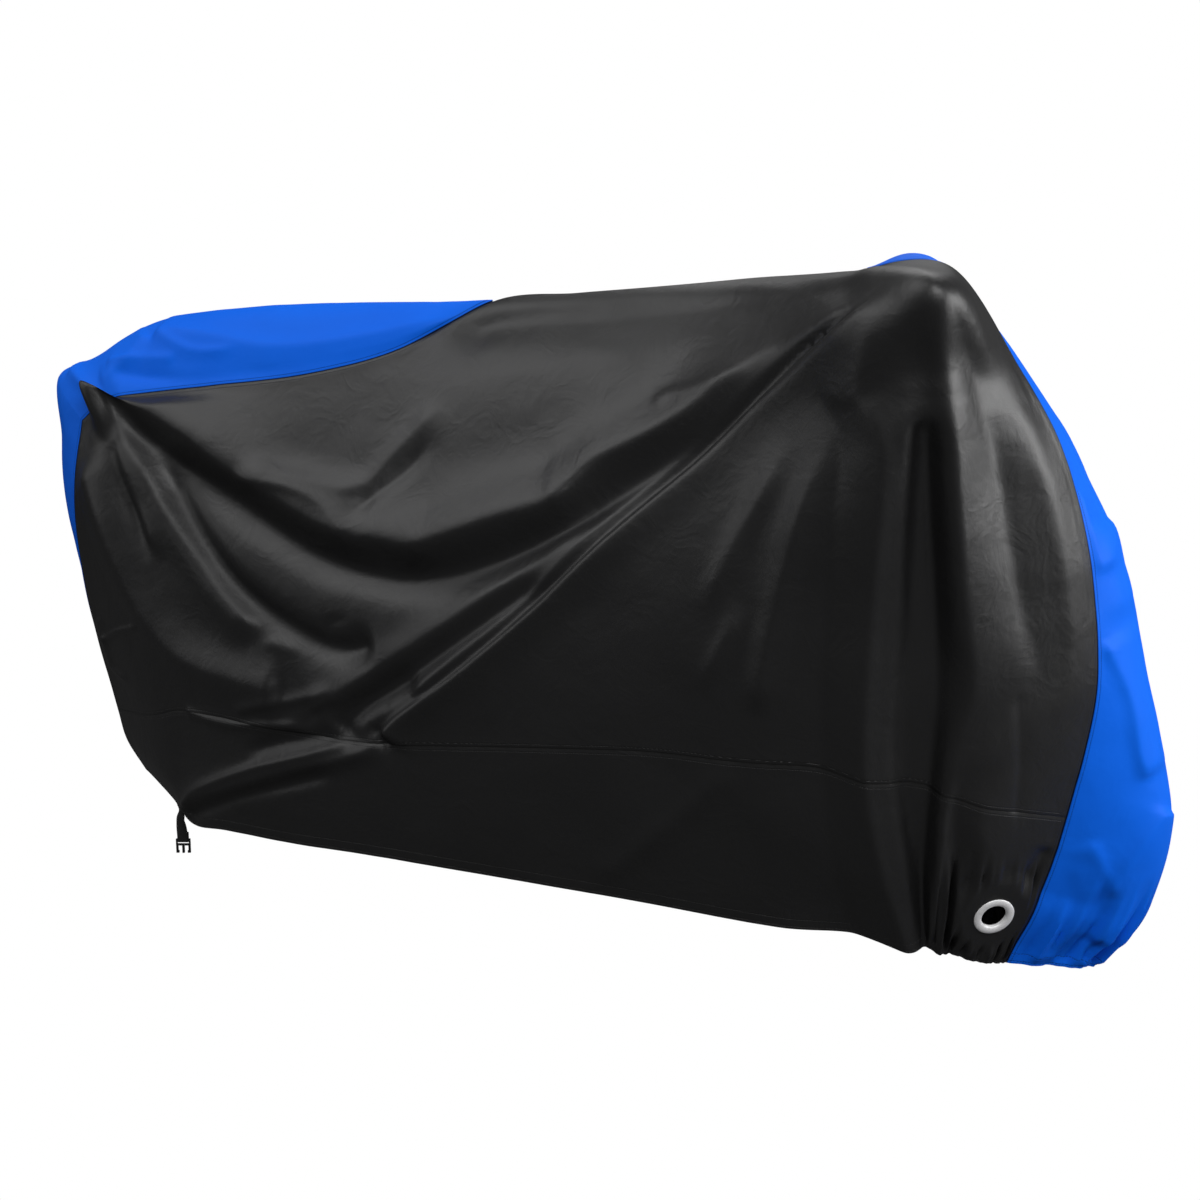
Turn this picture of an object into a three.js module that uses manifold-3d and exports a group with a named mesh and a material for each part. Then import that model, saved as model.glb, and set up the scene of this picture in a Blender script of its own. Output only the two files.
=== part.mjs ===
// Fitted motorcycle cover, hanging in its draped shape over a support that is not part of it.
// Millimetres, +Z up, +X toward the nose, +Y toward the far side. The hem is about 0.1 m above
// the ground. The origin is under the top, where the ridge rests on what it covers.
// Black side panels (upper and lower, near and far), one blue nose panel, one blue tail panel,
// a ring round the lock hole of each lower side, and the two halves of the belly strap.
import * as THREE from 'three';
import Module from 'manifold-3d';
import { mergeVertices } from 'three/addons/utils/BufferGeometryUtils.js';

const CLOTH = 2.0;          // thickness of the coated cloth as modelled
const HALF_GAP = 0.2;       // half the clearance left along a seam
const TOP_HEIGHT = 1137;    // underside of the ridge above the ground, at the origin
const RING_OUTER = 34;      // lock hole ring
const RING_INNER = 21;
const HOLE_RADIUS = 23.8;
const RING_PLAY = 0.6;
const RING_U = 1.35, RING_V = 7.4;
const STRAP_WIDTH = 20, STRAP_THICK = 1.6, STRAP_LENGTH = 66;
const BUCKLE_WIDTH = 27, BUCKLE_THICK = 5;

// Sections of a side panel, from the nose seam (row 0) to the tail seam (row 15).
// Each row runs down the cloth: top, shoulder, four down the side, lower seam, belly, hem.
// Each point is [forward, half width, height above the ground].
const SECTIONS = [
  [[445, 0, 1177], [615, 200, 1182], [718, 170, 1035], [790, 150, 900], [835, 135, 725],
    [850, 125, 530], [815, 120, 325], [785, 115, 210], [730, 105, 65]],
  [[430, 0, 1173], [640, 310, 1170], [700, 250, 1010], [760, 205, 870], [795, 185, 715],
    [805, 175, 530], [770, 165, 340], [745, 150, 215], [700, 125, 70]],
  [[405, 0, 1171], [625, 355, 1172], [660, 330, 1025], [690, 290, 875], [725, 260, 710],
    [735, 240, 540], [705, 225, 360], [690, 195, 230], [655, 150, 80]],
  [[370, 0, 1168], [600, 365, 1172], [615, 360, 1025], [630, 335, 865], [640, 310, 700],
    [645, 290, 540], [635, 270, 385], [625, 235, 245], [615, 175, 95]],
  [[325, 0, 1165], [560, 350, 1158], [565, 360, 1010], [555, 345, 845], [545, 325, 685],
    [540, 310, 535], [540, 295, 405], [550, 260, 260], [580, 190, 100]],
  [[260, 0, 1161], [490, 304, 1115], [480, 325, 960], [460, 335, 810], [450, 330, 665],
    [440, 325, 530], [440, 315, 420], [450, 294, 285], [500, 230, 125]],
  [[170, 0, 1153], [355, 200, 1060], [355, 270, 905], [345, 300, 770], [335, 315, 640],
    [325, 320, 520], [320, 315, 420], [330, 300, 295], [370, 270, 140]],
  [[65, 0, 1144], [190, 130, 1045], [200, 220, 885], [205, 275, 750], [200, 300, 625],
    [195, 310, 515], [185, 310, 420], [190, 305, 305], [205, 285, 155]],
  [[-60, 0, 1134], [20, 120, 1025], [35, 195, 875], [45, 255, 745], [45, 285, 620],
    [40, 300, 510], [40, 305, 410], [35, 300, 305], [40, 290, 165]],
  [[-210, 0, 1120], [-155, 110, 1005], [-140, 175, 870], [-120, 235, 740], [-115, 270, 615],
    [-120, 290, 500], [-120, 295, 395], [-130, 295, 305], [-135, 285, 170]],
  [[-365, 70, 1035], [-340, 125, 940], [-320, 175, 835], [-305, 220, 720], [-300, 255, 605],
    [-295, 275, 490], [-300, 285, 380], [-305, 285, 290], [-315, 280, 175]],
  [[-530, 95, 990], [-510, 140, 895], [-495, 175, 795], [-490, 210, 690], [-485, 235, 585],
    [-485, 250, 480], [-485, 260, 375], [-495, 260, 280], [-505, 255, 170]],
  [[-715, 100, 965], [-685, 145, 870], [-675, 170, 765], [-665, 195, 670], [-660, 210, 570],
    [-655, 220, 470], [-660, 225, 380], [-660, 225, 270], [-660, 220, 165]],
  [[-865, 100, 945], [-840, 140, 845], [-830, 160, 740], [-815, 175, 640], [-795, 185, 545],
    [-785, 190, 455], [-765, 195, 375], [-760, 190, 260], [-750, 185, 155]],
  [[-960, 105, 930], [-955, 130, 830], [-945, 145, 710], [-925, 150, 600], [-900, 155, 510],
    [-875, 160, 420], [-855, 160, 350], [-845, 155, 255], [-805, 150, 175]],
  [[-1025, 90, 890], [-1050, 85, 790], [-1060, 80, 690], [-1053, 75, 590], [-1036, 75, 500],
    [-1012, 75, 410], [-990, 75, 330], [-974, 72, 270], [-938, 70, 215]],
];

// On the far side the handlebar end lies further back and lower, so the cloth does too.
// Columns: section, level, [forward, half width, height].
const FAR_POINTS = [
  [0, 1, [540, 190, 1150]], [1, 1, [520, 270, 1140]], [2, 1, [490, 315, 1135]],
  [3, 1, [450, 335, 1130]], [4, 1, [420, 330, 1115]], [5, 1, [385, 275, 1080]],
  [6, 1, [320, 190, 1045]],
  [0, 2, [665, 165, 1020]], [1, 2, [640, 240, 995]], [2, 2, [600, 310, 1005]],
  [3, 2, [555, 340, 1005]], [4, 2, [515, 340, 990]], [5, 2, [440, 310, 945]],
  [6, 2, [335, 262, 895]],
  [0, 3, [768, 148, 893]], [1, 3, [735, 200, 865]], [2, 3, [660, 280, 868]],
  [3, 3, [600, 325, 858]], [4, 3, [530, 335, 840]], [5, 3, [445, 330, 805]],
];

// Middle line of the nose panel, one [forward, height] for each step down the nose seam.
const NOSE_MIDDLE = [[445, 1177], [548, 1194], [670, 1060], [758, 925], [866, 735], [922, 520],
  [968, 310], [942, 155], [868, 46]];
// Middle line of the tail panel, beside sections 9 to 15 and then down the rear seam.
const TAIL_MIDDLE = [[-210, 1120], [-365, 1115], [-535, 1112], [-720, 1101], [-905, 1074],
  [-1045, 1005], [-1132, 968], [-1128, 868], [-1130, 775], [-1105, 665], [-1062, 545], [-1030, 445],
  [-1008, 360], [-990, 290], [-962, 235]];

// Main folds. Columns: name, line of [forward, height] points, width on the left of the line,
// width on its right, height of the fold (minus is a trough), sharpness, fade at each end.
const NEAR_FOLDS = [
  ['swag crest',
    [[-955, 930], [-920, 940], [-835, 910], [-735, 870], [-630, 815], [-505, 760], [-400, 725],
    [-325, 720], [-255, 715], [-180, 740], [-90, 770], [0, 800], [60, 860], [145, 905], [225, 950],
    [325, 1030], [450, 1105], [545, 1160]],
    80, 34, 30, 0.4, 40, 420],
  ['swag trough',
    [[-940, 910], [-845, 855], [-725, 795], [-635, 755], [-495, 690], [-400, 665], [-290, 655],
    [-190, 670], [-95, 700], [-5, 740], [75, 790], [155, 840], [235, 895], [335, 970], [435, 1060]],
    34, 50, -22, 0.3, 40, 300],
  ['tail valley',
    [[-845, 840], [-785, 775], [-710, 685], [-620, 610], [-505, 555], [-405, 530], [-320, 550]],
    34, 34, -20, 0.2, 90, 40],
  ['tail crest',
    [[-935, 890], [-865, 825], [-795, 740], [-710, 655], [-635, 585], [-565, 540]],
    26, 50, 15, 0.4, 30, 60],
  ['rear step',
    [[-1010, 835], [-960, 740], [-905, 645], [-845, 555], [-785, 500], [-720, 470], [-625, 455],
    [-515, 445]],
    50, 60, 18, 0.3, 60, 30],
  ['tension ridge',
    [[555, 1150], [490, 1090], [405, 1015], [320, 950], [240, 875], [160, 805], [80, 730], [0, 650],
    [-85, 575], [-175, 500], [-270, 430], [-300, 385]],
    40, 28, 22, 0.5, 60, 20],
  ['tension tail',
    [[-300, 385], [-370, 350], [-480, 315], [-595, 270], [-730, 215], [-775, 185]],
    24, 36, 13, 0.5, 20, 0],
  ['upper ridge',
    [[520, 1150], [400, 1050], [315, 980], [235, 905], [155, 840], [75, 765], [0, 685], [-90, 605],
    [-180, 530], [-250, 465]],
    24, 44, 12, 0.4, 80, 40],
  ['middle valley',
    [[20, 695], [-90, 620], [-180, 555], [-270, 490], [-355, 435], [-400, 385]],
    28, 28, -15, 0.2, 90, 20],
  ['ridge trough',
    [[-295, 1060], [-180, 1085], [5, 1095], [185, 1115], [380, 1140], [520, 1165]],
    30, 44, -14, 0.2, 80, 60],
  ['curtain ridge', [[475, 960], [430, 825], [390, 650], [360, 490]], 26, 32, 12, 0.2, 160, 60],
];
// Below the handlebar end the near side falls in pleats that fan out toward the nose.
// Columns: height above the ground, then [forward, height over the smooth side] at the foot of the
// first pleat, its crest, its edge, the foot of the trough, its bottom, the crest of the second
// pleat, the hollow behind the third, its crest and the end of the pleats.
const PLEATS = [
  [1178, [[560, 0], [580, 0], [595, 0], [602, 0], [608, 0], [615, 0], [625, 0], [635, 0],
    [650, 0]]],
  [1065, [[500, 0], [560, 4], [592, 4], [602, 3], [612, 3], [634, 6], [668, -6], [688, 4],
    [700, 0]]],
  [1000, [[490, -2], [568, 9], [594, 6], [604, 4], [618, 3], [638, 10], [685, -10], [712, 8],
    [735, 0]]],
  [972, [[488, -3], [569, 12], [594, 8], [604, 3], [621, 1], [641, 13], [693, -11], [722, 9],
    [747, 0]]],
  [948, [[487, -4], [568, 14], [593, 9], [602, -15], [622, -18], [643, 15], [700, -12], [733, 11],
    [762, 0]]],
  [915, [[485, -6], [564, 16], [591, 7], [601, -22], [624, -28], [646, 16], [708, -13], [745, 12],
    [780, 0]]],
  [850, [[480, -8], [556, 18], [587, 5], [598, -24], [627, -32], [650, 17], [720, -13], [768, 14],
    [810, 0]]],
  [760, [[475, -10], [548, 18], [582, 4], [595, -24], [631, -35], [658, 15], [735, -12], [790, 13],
    [835, 0]]],
  [665, [[470, -12], [540, 17], [577, 4], [592, -22], [636, -36], [668, 13], [754, -8], [807, 9],
    [850, 0]]],
  [560, [[465, -12], [533, 17], [570, 4], [586, -20], [639, -36], [680, 9], [770, -3], [815, 4],
    [850, 0]]],
  [460, [[465, -12], [529, 16], [567, 4], [582, -22], [634, -34], [655, -3], [700, 6], [780, 3],
    [840, 0]]],
  [370, [[470, -10], [534, 15], [573, 4], [587, -22], [627, -30], [646, 4], [662, -8], [700, 5],
    [820, 0]]],
  [250, [[480, -8], [551, 13], [588, 3], [600, -18], [621, -24], [637, 5], [662, -9], [700, 5],
    [790, 0]]],
  [140, [[505, -6], [580, 10], [600, 3], [609, -12], [616, -14], [624, 3], [660, -6], [695, 4],
    [770, 0]]],
  [60, [[530, -4], [590, 6], [607, 2], [616, -6], [622, -8], [632, 2], [655, -4], [685, 3],
    [760, 0]]],
];
// The far side is not seen. Its folds are fewer and hang the same way.
const FAR_FOLDS = [
  ['far swag crest',
    [[-940, 925], [-800, 880], [-640, 800], [-450, 730], [-280, 705], [-100, 755], [60, 850],
    [260, 960], [540, 1150]],
    80, 36, 26, 0.3, 60, 120],
  ['far swag trough',
    [[-900, 870], [-760, 790], [-600, 700], [-420, 650], [-250, 640], [-70, 700], [110, 810],
    [300, 930]],
    36, 50, -18, 0.2, 60, 100],
  ['far rear step',
    [[-990, 820], [-920, 680], [-820, 560], [-690, 480], [-540, 440]],
    50, 60, 16, 0.3, 60, 60],
  ['far tension ridge',
    [[550, 1140], [420, 1020], [260, 870], [100, 720], [-80, 570], [-260, 430], [-480, 310],
    [-740, 200]],
    40, 34, 20, 0.4, 60, 40],
  ['far curtain ridge', [[500, 930], [470, 780], [420, 620], [350, 470]], 32, 32, 12, 0.2, 100, 60],
  ['far front ridge',
    [[590, 980], [570, 800], [545, 600], [535, 400], [560, 200]],
    34, 38, 22, 0.2, 60, 40],
  ['far front valley',
    [[620, 950], [635, 760], [630, 560], [620, 360], [615, 170]],
    30, 30, -28, 0.2, 60, 30],
  ['far nose ridge', [[640, 1100], [670, 890], [700, 690], [730, 520]], 38, 30, 16, 0.2, 60, 80],
];

// Steps between one section and the next, and between one level and the next.
const STEPS_U = {
  near: [4, 5, 5, 5, 4, 4, 4, 4, 4, 4, 4, 4, 4, 3, 2],
  far: [3, 2, 2, 3, 3, 3, 2, 2, 2, 4, 4, 4, 4, 3, 2],
};
const STEPS_V = [3, 4, 4, 4, 3, 3, 2, 4];
const LAST_U = 15, LAST_V = 8;
const RIDGE_END = 9;        // sections 0 to 9 start on the ridge, the others on the tail seam
const RIDGE_SPREAD = 10, RIDGE_BLEND = 0.25;   // least half width just below the ridge
const SEAM_LEVEL = 6;

const vec = (a) => new THREE.Vector3(a[0], a[1], a[2] ?? 0);
const limit = (x, top) => Math.min(top, Math.max(0, x));
function smooth(t) {
  const c = limit(t, 1);
  return c * c * (3 - 2 * c);
}
function spline(p, q, r, s, t) {
  return p.map((_, k) => 0.5 * (2 * q[k] + (r[k] - p[k]) * t
    + (2 * p[k] - 5 * q[k] + 4 * r[k] - s[k]) * t * t + (3 * q[k] - p[k] - 3 * r[k] + s[k]) * t ** 3));
}
// A row of points is carried one point past each end, so that a spline covers all of it.
const beyond = (a, b) => a.map((x, k) => 2 * x - b[k]);
function padded(row) {
  return [beyond(row[0], row[1]), ...row, beyond(row[row.length - 1], row[row.length - 2])];
}
function along(row, s) {
  const i = Math.min(Math.floor(s), row.length - 4);
  return spline(row[i], row[i + 1], row[i + 2], row[i + 3], s - i);
}
function knots(steps) {
  const inner = steps.flatMap((n, i) => Array.from({ length: n }, (_, k) => i + k / n));
  return [...inner, steps.length];
}

// Net of control points for a side panel. The ridge is rounded across the middle of the cover.
function controlNet(sections) {
  const before = sections[0].map((p, k) => beyond(p, sections[1][k]));
  const after = sections[LAST_U].map((p, k) => beyond(p, sections[LAST_U - 1][k]));
  return [before, ...sections, after].map((row, i) => {
    const line = padded(row);
    const own = sections[limit(i - 1, LAST_U)];
    if (limit(i - 1, LAST_U) <= RIDGE_END) {
      const mirror = [own[1][0], -own[1][1], own[1][2]];
      line[0] = mirror.map((m, k) => 0.5 * m + 0.5 * (2 * own[0][k] - own[1][k]));
    }
    return line;
  });
}
function farSections() {
  const sections = SECTIONS.map((row) => [...row]);
  for (const [section, level, point] of FAR_POINTS) sections[section][level] = point;
  return sections;
}
// side is -1 for the near side and 1 for the far side.
const NETS = { '-1': controlNet(SECTIONS), 1: controlNet(farSections()) };

function smoothSide(u, v, side) {
  const i = Math.min(Math.floor(u), LAST_U - 1);
  const p = spline(...[0, 1, 2, 3].map((k) => along(NETS[side][i + k], v)), u - i);
  const least = u <= RIDGE_END ? RIDGE_SPREAD * limit(v / RIDGE_BLEND, 1) : 0;
  p[1] = v === 0 && u <= RIDGE_END ? 0 : Math.max(least, p[1]);
  return p;
}
function sideNormal(u, v, side) {
  const e = 0.02;
  const at = (a, b) => vec(smoothSide(limit(a, LAST_U), limit(b, LAST_V), side));
  const a = at(u + e, v).sub(at(u - e, v)), b = at(u, v + e).sub(at(u, v - e));
  return b.cross(a).normalize();
}

// Height of one fold at a point of the side view: a rounded ridge or trough along its line.
const REACH = 2.6;          // a fold ends this many widths from its line
const lines = new Map();
function foldLine(row) {
  if (!lines.has(row)) {
    const P = padded(row[1]);
    const out = row[1].slice(1).flatMap((_, i) => [0, 0.25, 0.5, 0.75].map(
      (t) => spline(P[i], P[i + 1], P[i + 2], P[i + 3], t)));
    lines.set(row, [...out, row[1][row[1].length - 1]]);
  }
  return lines.get(row);
}
function foldHeight(row, x, z) {
  const L = foldLine(row);
  const [, , left, right, height, sharp, fadeIn, fadeOut] = row;
  let best = Infinity, side = 1, at = 0, run = 0;
  for (let i = 0; i + 1 < L.length; i++) {
    const ex = L[i + 1][0] - L[i][0], ez = L[i + 1][1] - L[i][1], len = Math.hypot(ex, ez);
    const s = limit(((x - L[i][0]) * ex + (z - L[i][1]) * ez) / (len * len), 1);
    const dx = x - L[i][0] - s * ex, dz = z - L[i][1] - s * ez, d = Math.hypot(dx, dz);
    if (d < best) [best, side, at] = [d, ex * dz - ez * dx, run + s * len];
    run += len;
  }
  const t = best / (side > 0 ? left : right);
  if (t > REACH) return 0;
  const ends = (fadeIn ? smooth(at / fadeIn) : 1) * (fadeOut ? smooth((run - at) / fadeOut) : 1);
  const crest = (1 - sharp) * Math.exp(-1.6 * t * t) + sharp * Math.exp(-1.7 * t);
  return height * ends * crest * smooth((REACH - t) / 0.6);
}

// Height of the pleats at a point of the side view. Their corners are rounded by an average over
// a few points beside it, each [offset, share].
const PLEAT_END = 110;      // length over which the first pleat runs out to the rear
const PLEAT_ROUNDING = [[-9, 0.15], [-4, 0.2], [0, 0.3], [4, 0.2], [9, 0.15]];
const pleatRows = PLEATS.map((row) => row[1]);
const pleatNet = [
  pleatRows[0].map((q, k) => beyond(q, pleatRows[1][k])),
  ...pleatRows,
  pleatRows[pleatRows.length - 1].map((q, k) => beyond(q, pleatRows[pleatRows.length - 2][k])),
];
function pleatHeight(x, z) {
  const top = PLEATS[0][0], foot = PLEATS[PLEATS.length - 1][0];
  const level = Math.max(foot, Math.min(top, z));
  const next = PLEATS.findIndex((row, i) => i > 0 && row[0] <= level);
  const i = next - 1;
  const t = (PLEATS[i][0] - level) / (PLEATS[i][0] - PLEATS[next][0]);
  const row = pleatRows[0].map((_, k) => (
    spline(pleatNet[i][k], pleatNet[i + 1][k], pleatNet[i + 2][k], pleatNet[i + 3][k], t)));
  return PLEAT_ROUNDING.reduce((sum, [offset, share]) => {
    const at = x + offset;
    if (at <= row[0][0]) return sum + share * row[0][1] * smooth((at - row[0][0] + PLEAT_END) / PLEAT_END);
    const k = row.findIndex((knot) => at <= knot[0]);
    if (k < 0) return sum;
    const [[x0, h0], [x1, h1]] = [row[k - 1], row[k]];
    return sum + share * (h0 + (h1 - h0) * (at - x0) / (x1 - x0));
  }, 0);
}

// Point of a side panel with its folds, and the direction the cloth faces there.
const SEAM_SHARE = 0.25;    // how much of a fold's height is left where it meets a seam
const SEAM_BLEND = 0.35, TAIL_BLEND = 0.25;     // sections over which it grows to its full height
const RIDGE_FADE = 40;      // a fold dies out where the two sides are this near each other
const APEX = [590, 1178];   // the handlebar end, where the cloth is pulled smooth
const APEX_SHARE = 0.15, APEX_START = 20, APEX_BLEND = 130;
const GATHER_HEIGHT = 3.5, GATHER_PACE = 14, GATHER_START = 7.3, GATHER_END = 3.2;
function sidePoint(u, v, side) {
  const b = smoothSide(u, v, side), n = sideNormal(u, v, side);
  const rows = side < 0 ? NEAR_FOLDS : FAR_FOLDS;
  const inside = smooth(v / SEAM_BLEND) * smooth(u / SEAM_BLEND) * smooth((LAST_U - u) / TAIL_BLEND);
  let h = rows.reduce((sum, row) => sum + foldHeight(row, b[0], b[2]), 0);
  if (side < 0) h += pleatHeight(b[0], b[2]);
  const apart = Math.hypot(b[0] - APEX[0], b[2] - APEX[1]);
  h *= APEX_SHARE + (1 - APEX_SHARE) * smooth((apart - APEX_START) / APEX_BLEND);
  h *= (SEAM_SHARE + (1 - SEAM_SHARE) * inside) * smooth(b[1] / RIDGE_FADE);
  // gathers where the elastic hem is drawn in at the nose
  const gathered = smooth((v - GATHER_START) / 0.7) * smooth((GATHER_END - u) / 0.8) * smooth(u / 0.3);
  h += GATHER_HEIGHT * Math.sin(u * GATHER_PACE) * gathered;
  const p = vec(b).addScaledVector(n, h);
  p.y *= side;
  n.y *= side;
  if (v === 0 && u <= RIDGE_END) n.setY(0).normalize();
  return { p, n };
}

// The cloth lies flat round the lock hole.
const FLAT_RADIUS = 66, FLAT_BLEND = 24;
const seats = { '-1': sidePoint(RING_U, RING_V, -1), 1: sidePoint(RING_U, RING_V, 1) };
function panelPoint(u, v, side) {
  const q = sidePoint(u, v, side), s = seats[side];
  const flat = 1 - smooth((q.p.distanceTo(s.p) - FLAT_RADIUS) / FLAT_BLEND);
  q.p.addScaledVector(s.n, -flat * q.p.clone().sub(s.p).dot(s.n));
  if (flat > 0) q.n.lerp(s.n, flat).normalize();
  return q;
}
// Unit step along the panel, used to draw each edge back from its seam.
function stepAlong(u, v, side, du, dv) {
  const a = panelPoint(limit(u + du, LAST_U), limit(v + dv, LAST_V), side).p;
  const b = panelPoint(limit(u - du, LAST_U), limit(v - dv, LAST_V), side).p;
  return a.sub(b).normalize();
}
const alongU = (u, v, side) => stepAlong(u, v, side, 0.03, 0);
const alongV = (u, v, side) => stepAlong(u, v, side, 0, 0.03);

// Closed sheet from a grid of points and facing directions: outer face, inner face, four edges.
const WELD = 1e4;           // points nearer than one part in WELD of a millimetre are one point
function sheet(grid, thick = CLOTH) {
  const rows = grid.length, cols = grid[0].length, pos = [], tri = [];
  const key = new Map();
  const id = (p) => {
    const k = [p.x, p.y, p.z].map((c) => Math.round(c * WELD)).join();
    if (!key.has(k)) {
      key.set(k, pos.length / 3);
      pos.push(p.x, p.y, p.z);
    }
    return key.get(k);
  };
  const outer = grid.map((r) => r.map((q) => id(q.p)));
  const inner = grid.map((r) => r.map((q) => id(q.p.clone().addScaledVector(q.n, -thick))));
  const add = (a, b, c) => {
    if (a !== b && b !== c && c !== a) tri.push(a, b, c);
  };
  const quad = (a, b, c, d) => {
    add(a, b, c);
    add(a, c, d);
  };
  // each cell is split along the diagonal whose two ends face most nearly the same way
  const at = (i, j) => grid[limit(i, rows - 1)][limit(j, cols - 1)].p;
  const face = grid.map((r, i) => r.map((_, j) => at(i + 1, j).clone().sub(at(i - 1, j))
    .cross(at(i, j + 1).clone().sub(at(i, j - 1))).normalize()));
  for (let i = 0; i + 1 < rows; i++) {
    for (let j = 0; j + 1 < cols; j++) {
      const o = [outer[i][j], outer[i + 1][j], outer[i + 1][j + 1], outer[i][j + 1]];
      const n = [inner[i][j], inner[i][j + 1], inner[i + 1][j + 1], inner[i + 1][j]];
      const straight = face[i][j].dot(face[i + 1][j + 1]), crossed = face[i + 1][j].dot(face[i][j + 1]);
      const turn = straight >= crossed ? 0 : 1;
      for (const c of [o, n]) quad(c[turn], c[turn + 1], c[turn + 2], c[(turn + 3) % 4]);
    }
  }
  for (let i = 0; i + 1 < rows; i++) {
    quad(outer[i + 1][0], outer[i][0], inner[i][0], inner[i + 1][0]);
    quad(outer[i][cols - 1], outer[i + 1][cols - 1], inner[i + 1][cols - 1], inner[i][cols - 1]);
  }
  for (let j = 0; j + 1 < cols; j++) {
    quad(outer[0][j], outer[0][j + 1], inner[0][j + 1], inner[0][j]);
    quad(outer[rows - 1][j + 1], outer[rows - 1][j], inner[rows - 1][j], inner[rows - 1][j + 1]);
  }
  const g = new THREE.BufferGeometry();
  g.setAttribute('position', new THREE.Float32BufferAttribute(pos, 3));
  g.setIndex(tri);
  return outward(g);
}
function outward(g) {
  const p = g.attributes.position, ix = g.index.array;
  const a = new THREE.Vector3(), b = new THREE.Vector3(), c = new THREE.Vector3();
  let volume = 0;
  for (let k = 0; k < ix.length; k += 3) {
    a.fromBufferAttribute(p, ix[k]);
    b.fromBufferAttribute(p, ix[k + 1]);
    c.fromBufferAttribute(p, ix[k + 2]);
    volume += a.dot(b.cross(c));
  }
  if (volume < 0) g.setIndex(Array.from(ix).reverse());
  return g;
}
function bare(g) {
  g.deleteAttribute('normal');
  g.deleteAttribute('uv');
  return mergeVertices(g, 1e-4);
}

const wasm = await Module();
wasm.setup();
function toSolid(g) {
  const vertProperties = new Float32Array(g.attributes.position.array);
  const triVerts = new Uint32Array(g.index.array);
  return new wasm.Manifold(new wasm.Mesh({ numProp: 3, vertProperties, triVerts }));
}
function toGeometry(solid) {
  const m = solid.getMesh(), g = new THREE.BufferGeometry();
  g.setAttribute('position', new THREE.Float32BufferAttribute(m.vertProperties, 3));
  g.setIndex(Array.from(m.triVerts));
  return g;
}

const black = new THREE.MeshStandardMaterial({ color: 0x17181a, roughness: 0.5, metalness: 0 });
const blue = new THREE.MeshStandardMaterial({ color: 0x1464dc, roughness: 0.5, metalness: 0 });
const silver = new THREE.MeshStandardMaterial({ color: 0xd8d9db, roughness: 0.3, metalness: 0.6 });
const webbing = new THREE.MeshStandardMaterial({ color: 0x111112, roughness: 0.85, metalness: 0 });
const plastic = new THREE.MeshStandardMaterial({ color: 0x0e0e0f, roughness: 0.4, metalness: 0 });

const cover = new THREE.Group();
cover.position.z = -TOP_HEIGHT;
function node(name, geometry, material) {
  const mesh = new THREE.Mesh(geometry, material);
  mesh.name = name;
  cover.add(mesh);
  return mesh;
}

// Side panels: the upper panel runs from the top to the lower seam, the lower one to the hem.
const KU = knots(STEPS_U.near), KV = knots(STEPS_V);
function sideGrid(side, from, to) {
  const levels = KV.filter((v) => v >= from && v <= to);
  return knots(side < 0 ? STEPS_U.near : STEPS_U.far).map((u) => levels.map((v) => {
    const q = panelPoint(u, v, side);
    if (u === 0) q.p.addScaledVector(alongU(u, v, side), HALF_GAP);
    if (u === LAST_U) q.p.addScaledVector(alongU(u, v, side), -HALF_GAP);
    if (v === 0 && u <= RIDGE_END) q.p.y += side * HALF_GAP;
    else if (v === from) q.p.addScaledVector(alongV(u, v, side), HALF_GAP);
    if (v === to && v < LAST_V) q.p.addScaledVector(alongV(u, v, side), -HALF_GAP);
    return q;
  }));
}
const UP = new THREE.Vector3(0, 0, 1), LATHE_AXIS = new THREE.Vector3(0, 1, 0);
const SIDES = [['near', -1], ['far', 1]];
for (const [name, side] of SIDES) {
  node('side_upper_' + name, sheet(sideGrid(side, 0, SEAM_LEVEL)), black);

  const seat = seats[side];
  const turned = new THREE.Quaternion().setFromUnitVectors(LATHE_AXIS, seat.n);
  const punch = bare(new THREE.CylinderGeometry(HOLE_RADIUS, HOLE_RADIUS, 30, 28));
  punch.applyQuaternion(turned).translate(...seat.p.toArray());
  const lower = toSolid(sheet(sideGrid(side, SEAM_LEVEL, LAST_V))).subtract(toSolid(punch));
  node('side_lower_' + name, toGeometry(lower), black);

  // Ring clamped through the lock hole: outer flange, barrel and inner flange in one turned section.
  // Each point is [radius, height above the cloth's outer face].
  const barrel = HOLE_RADIUS - RING_PLAY, back = RING_OUTER - 4;
  const section = [[RING_INNER, -4.2], [back, -4.2], [back, -2.4], [barrel, -2.4], [barrel, 0.4],
    [RING_OUTER, 0.4], [RING_OUTER - 0.6, 1.8], [RING_OUTER - 4, 3.0], [RING_INNER + 3, 3.0],
    [RING_INNER, 1.6], [RING_INNER, -4.2]];
  const turning = new THREE.LatheGeometry(section.map((p) => new THREE.Vector2(...p)), 24);
  const ring = node('eyelet_' + name, outward(bare(turning)), silver);
  ring.quaternion.copy(turned);
  ring.position.copy(seat.p);
}

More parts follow.
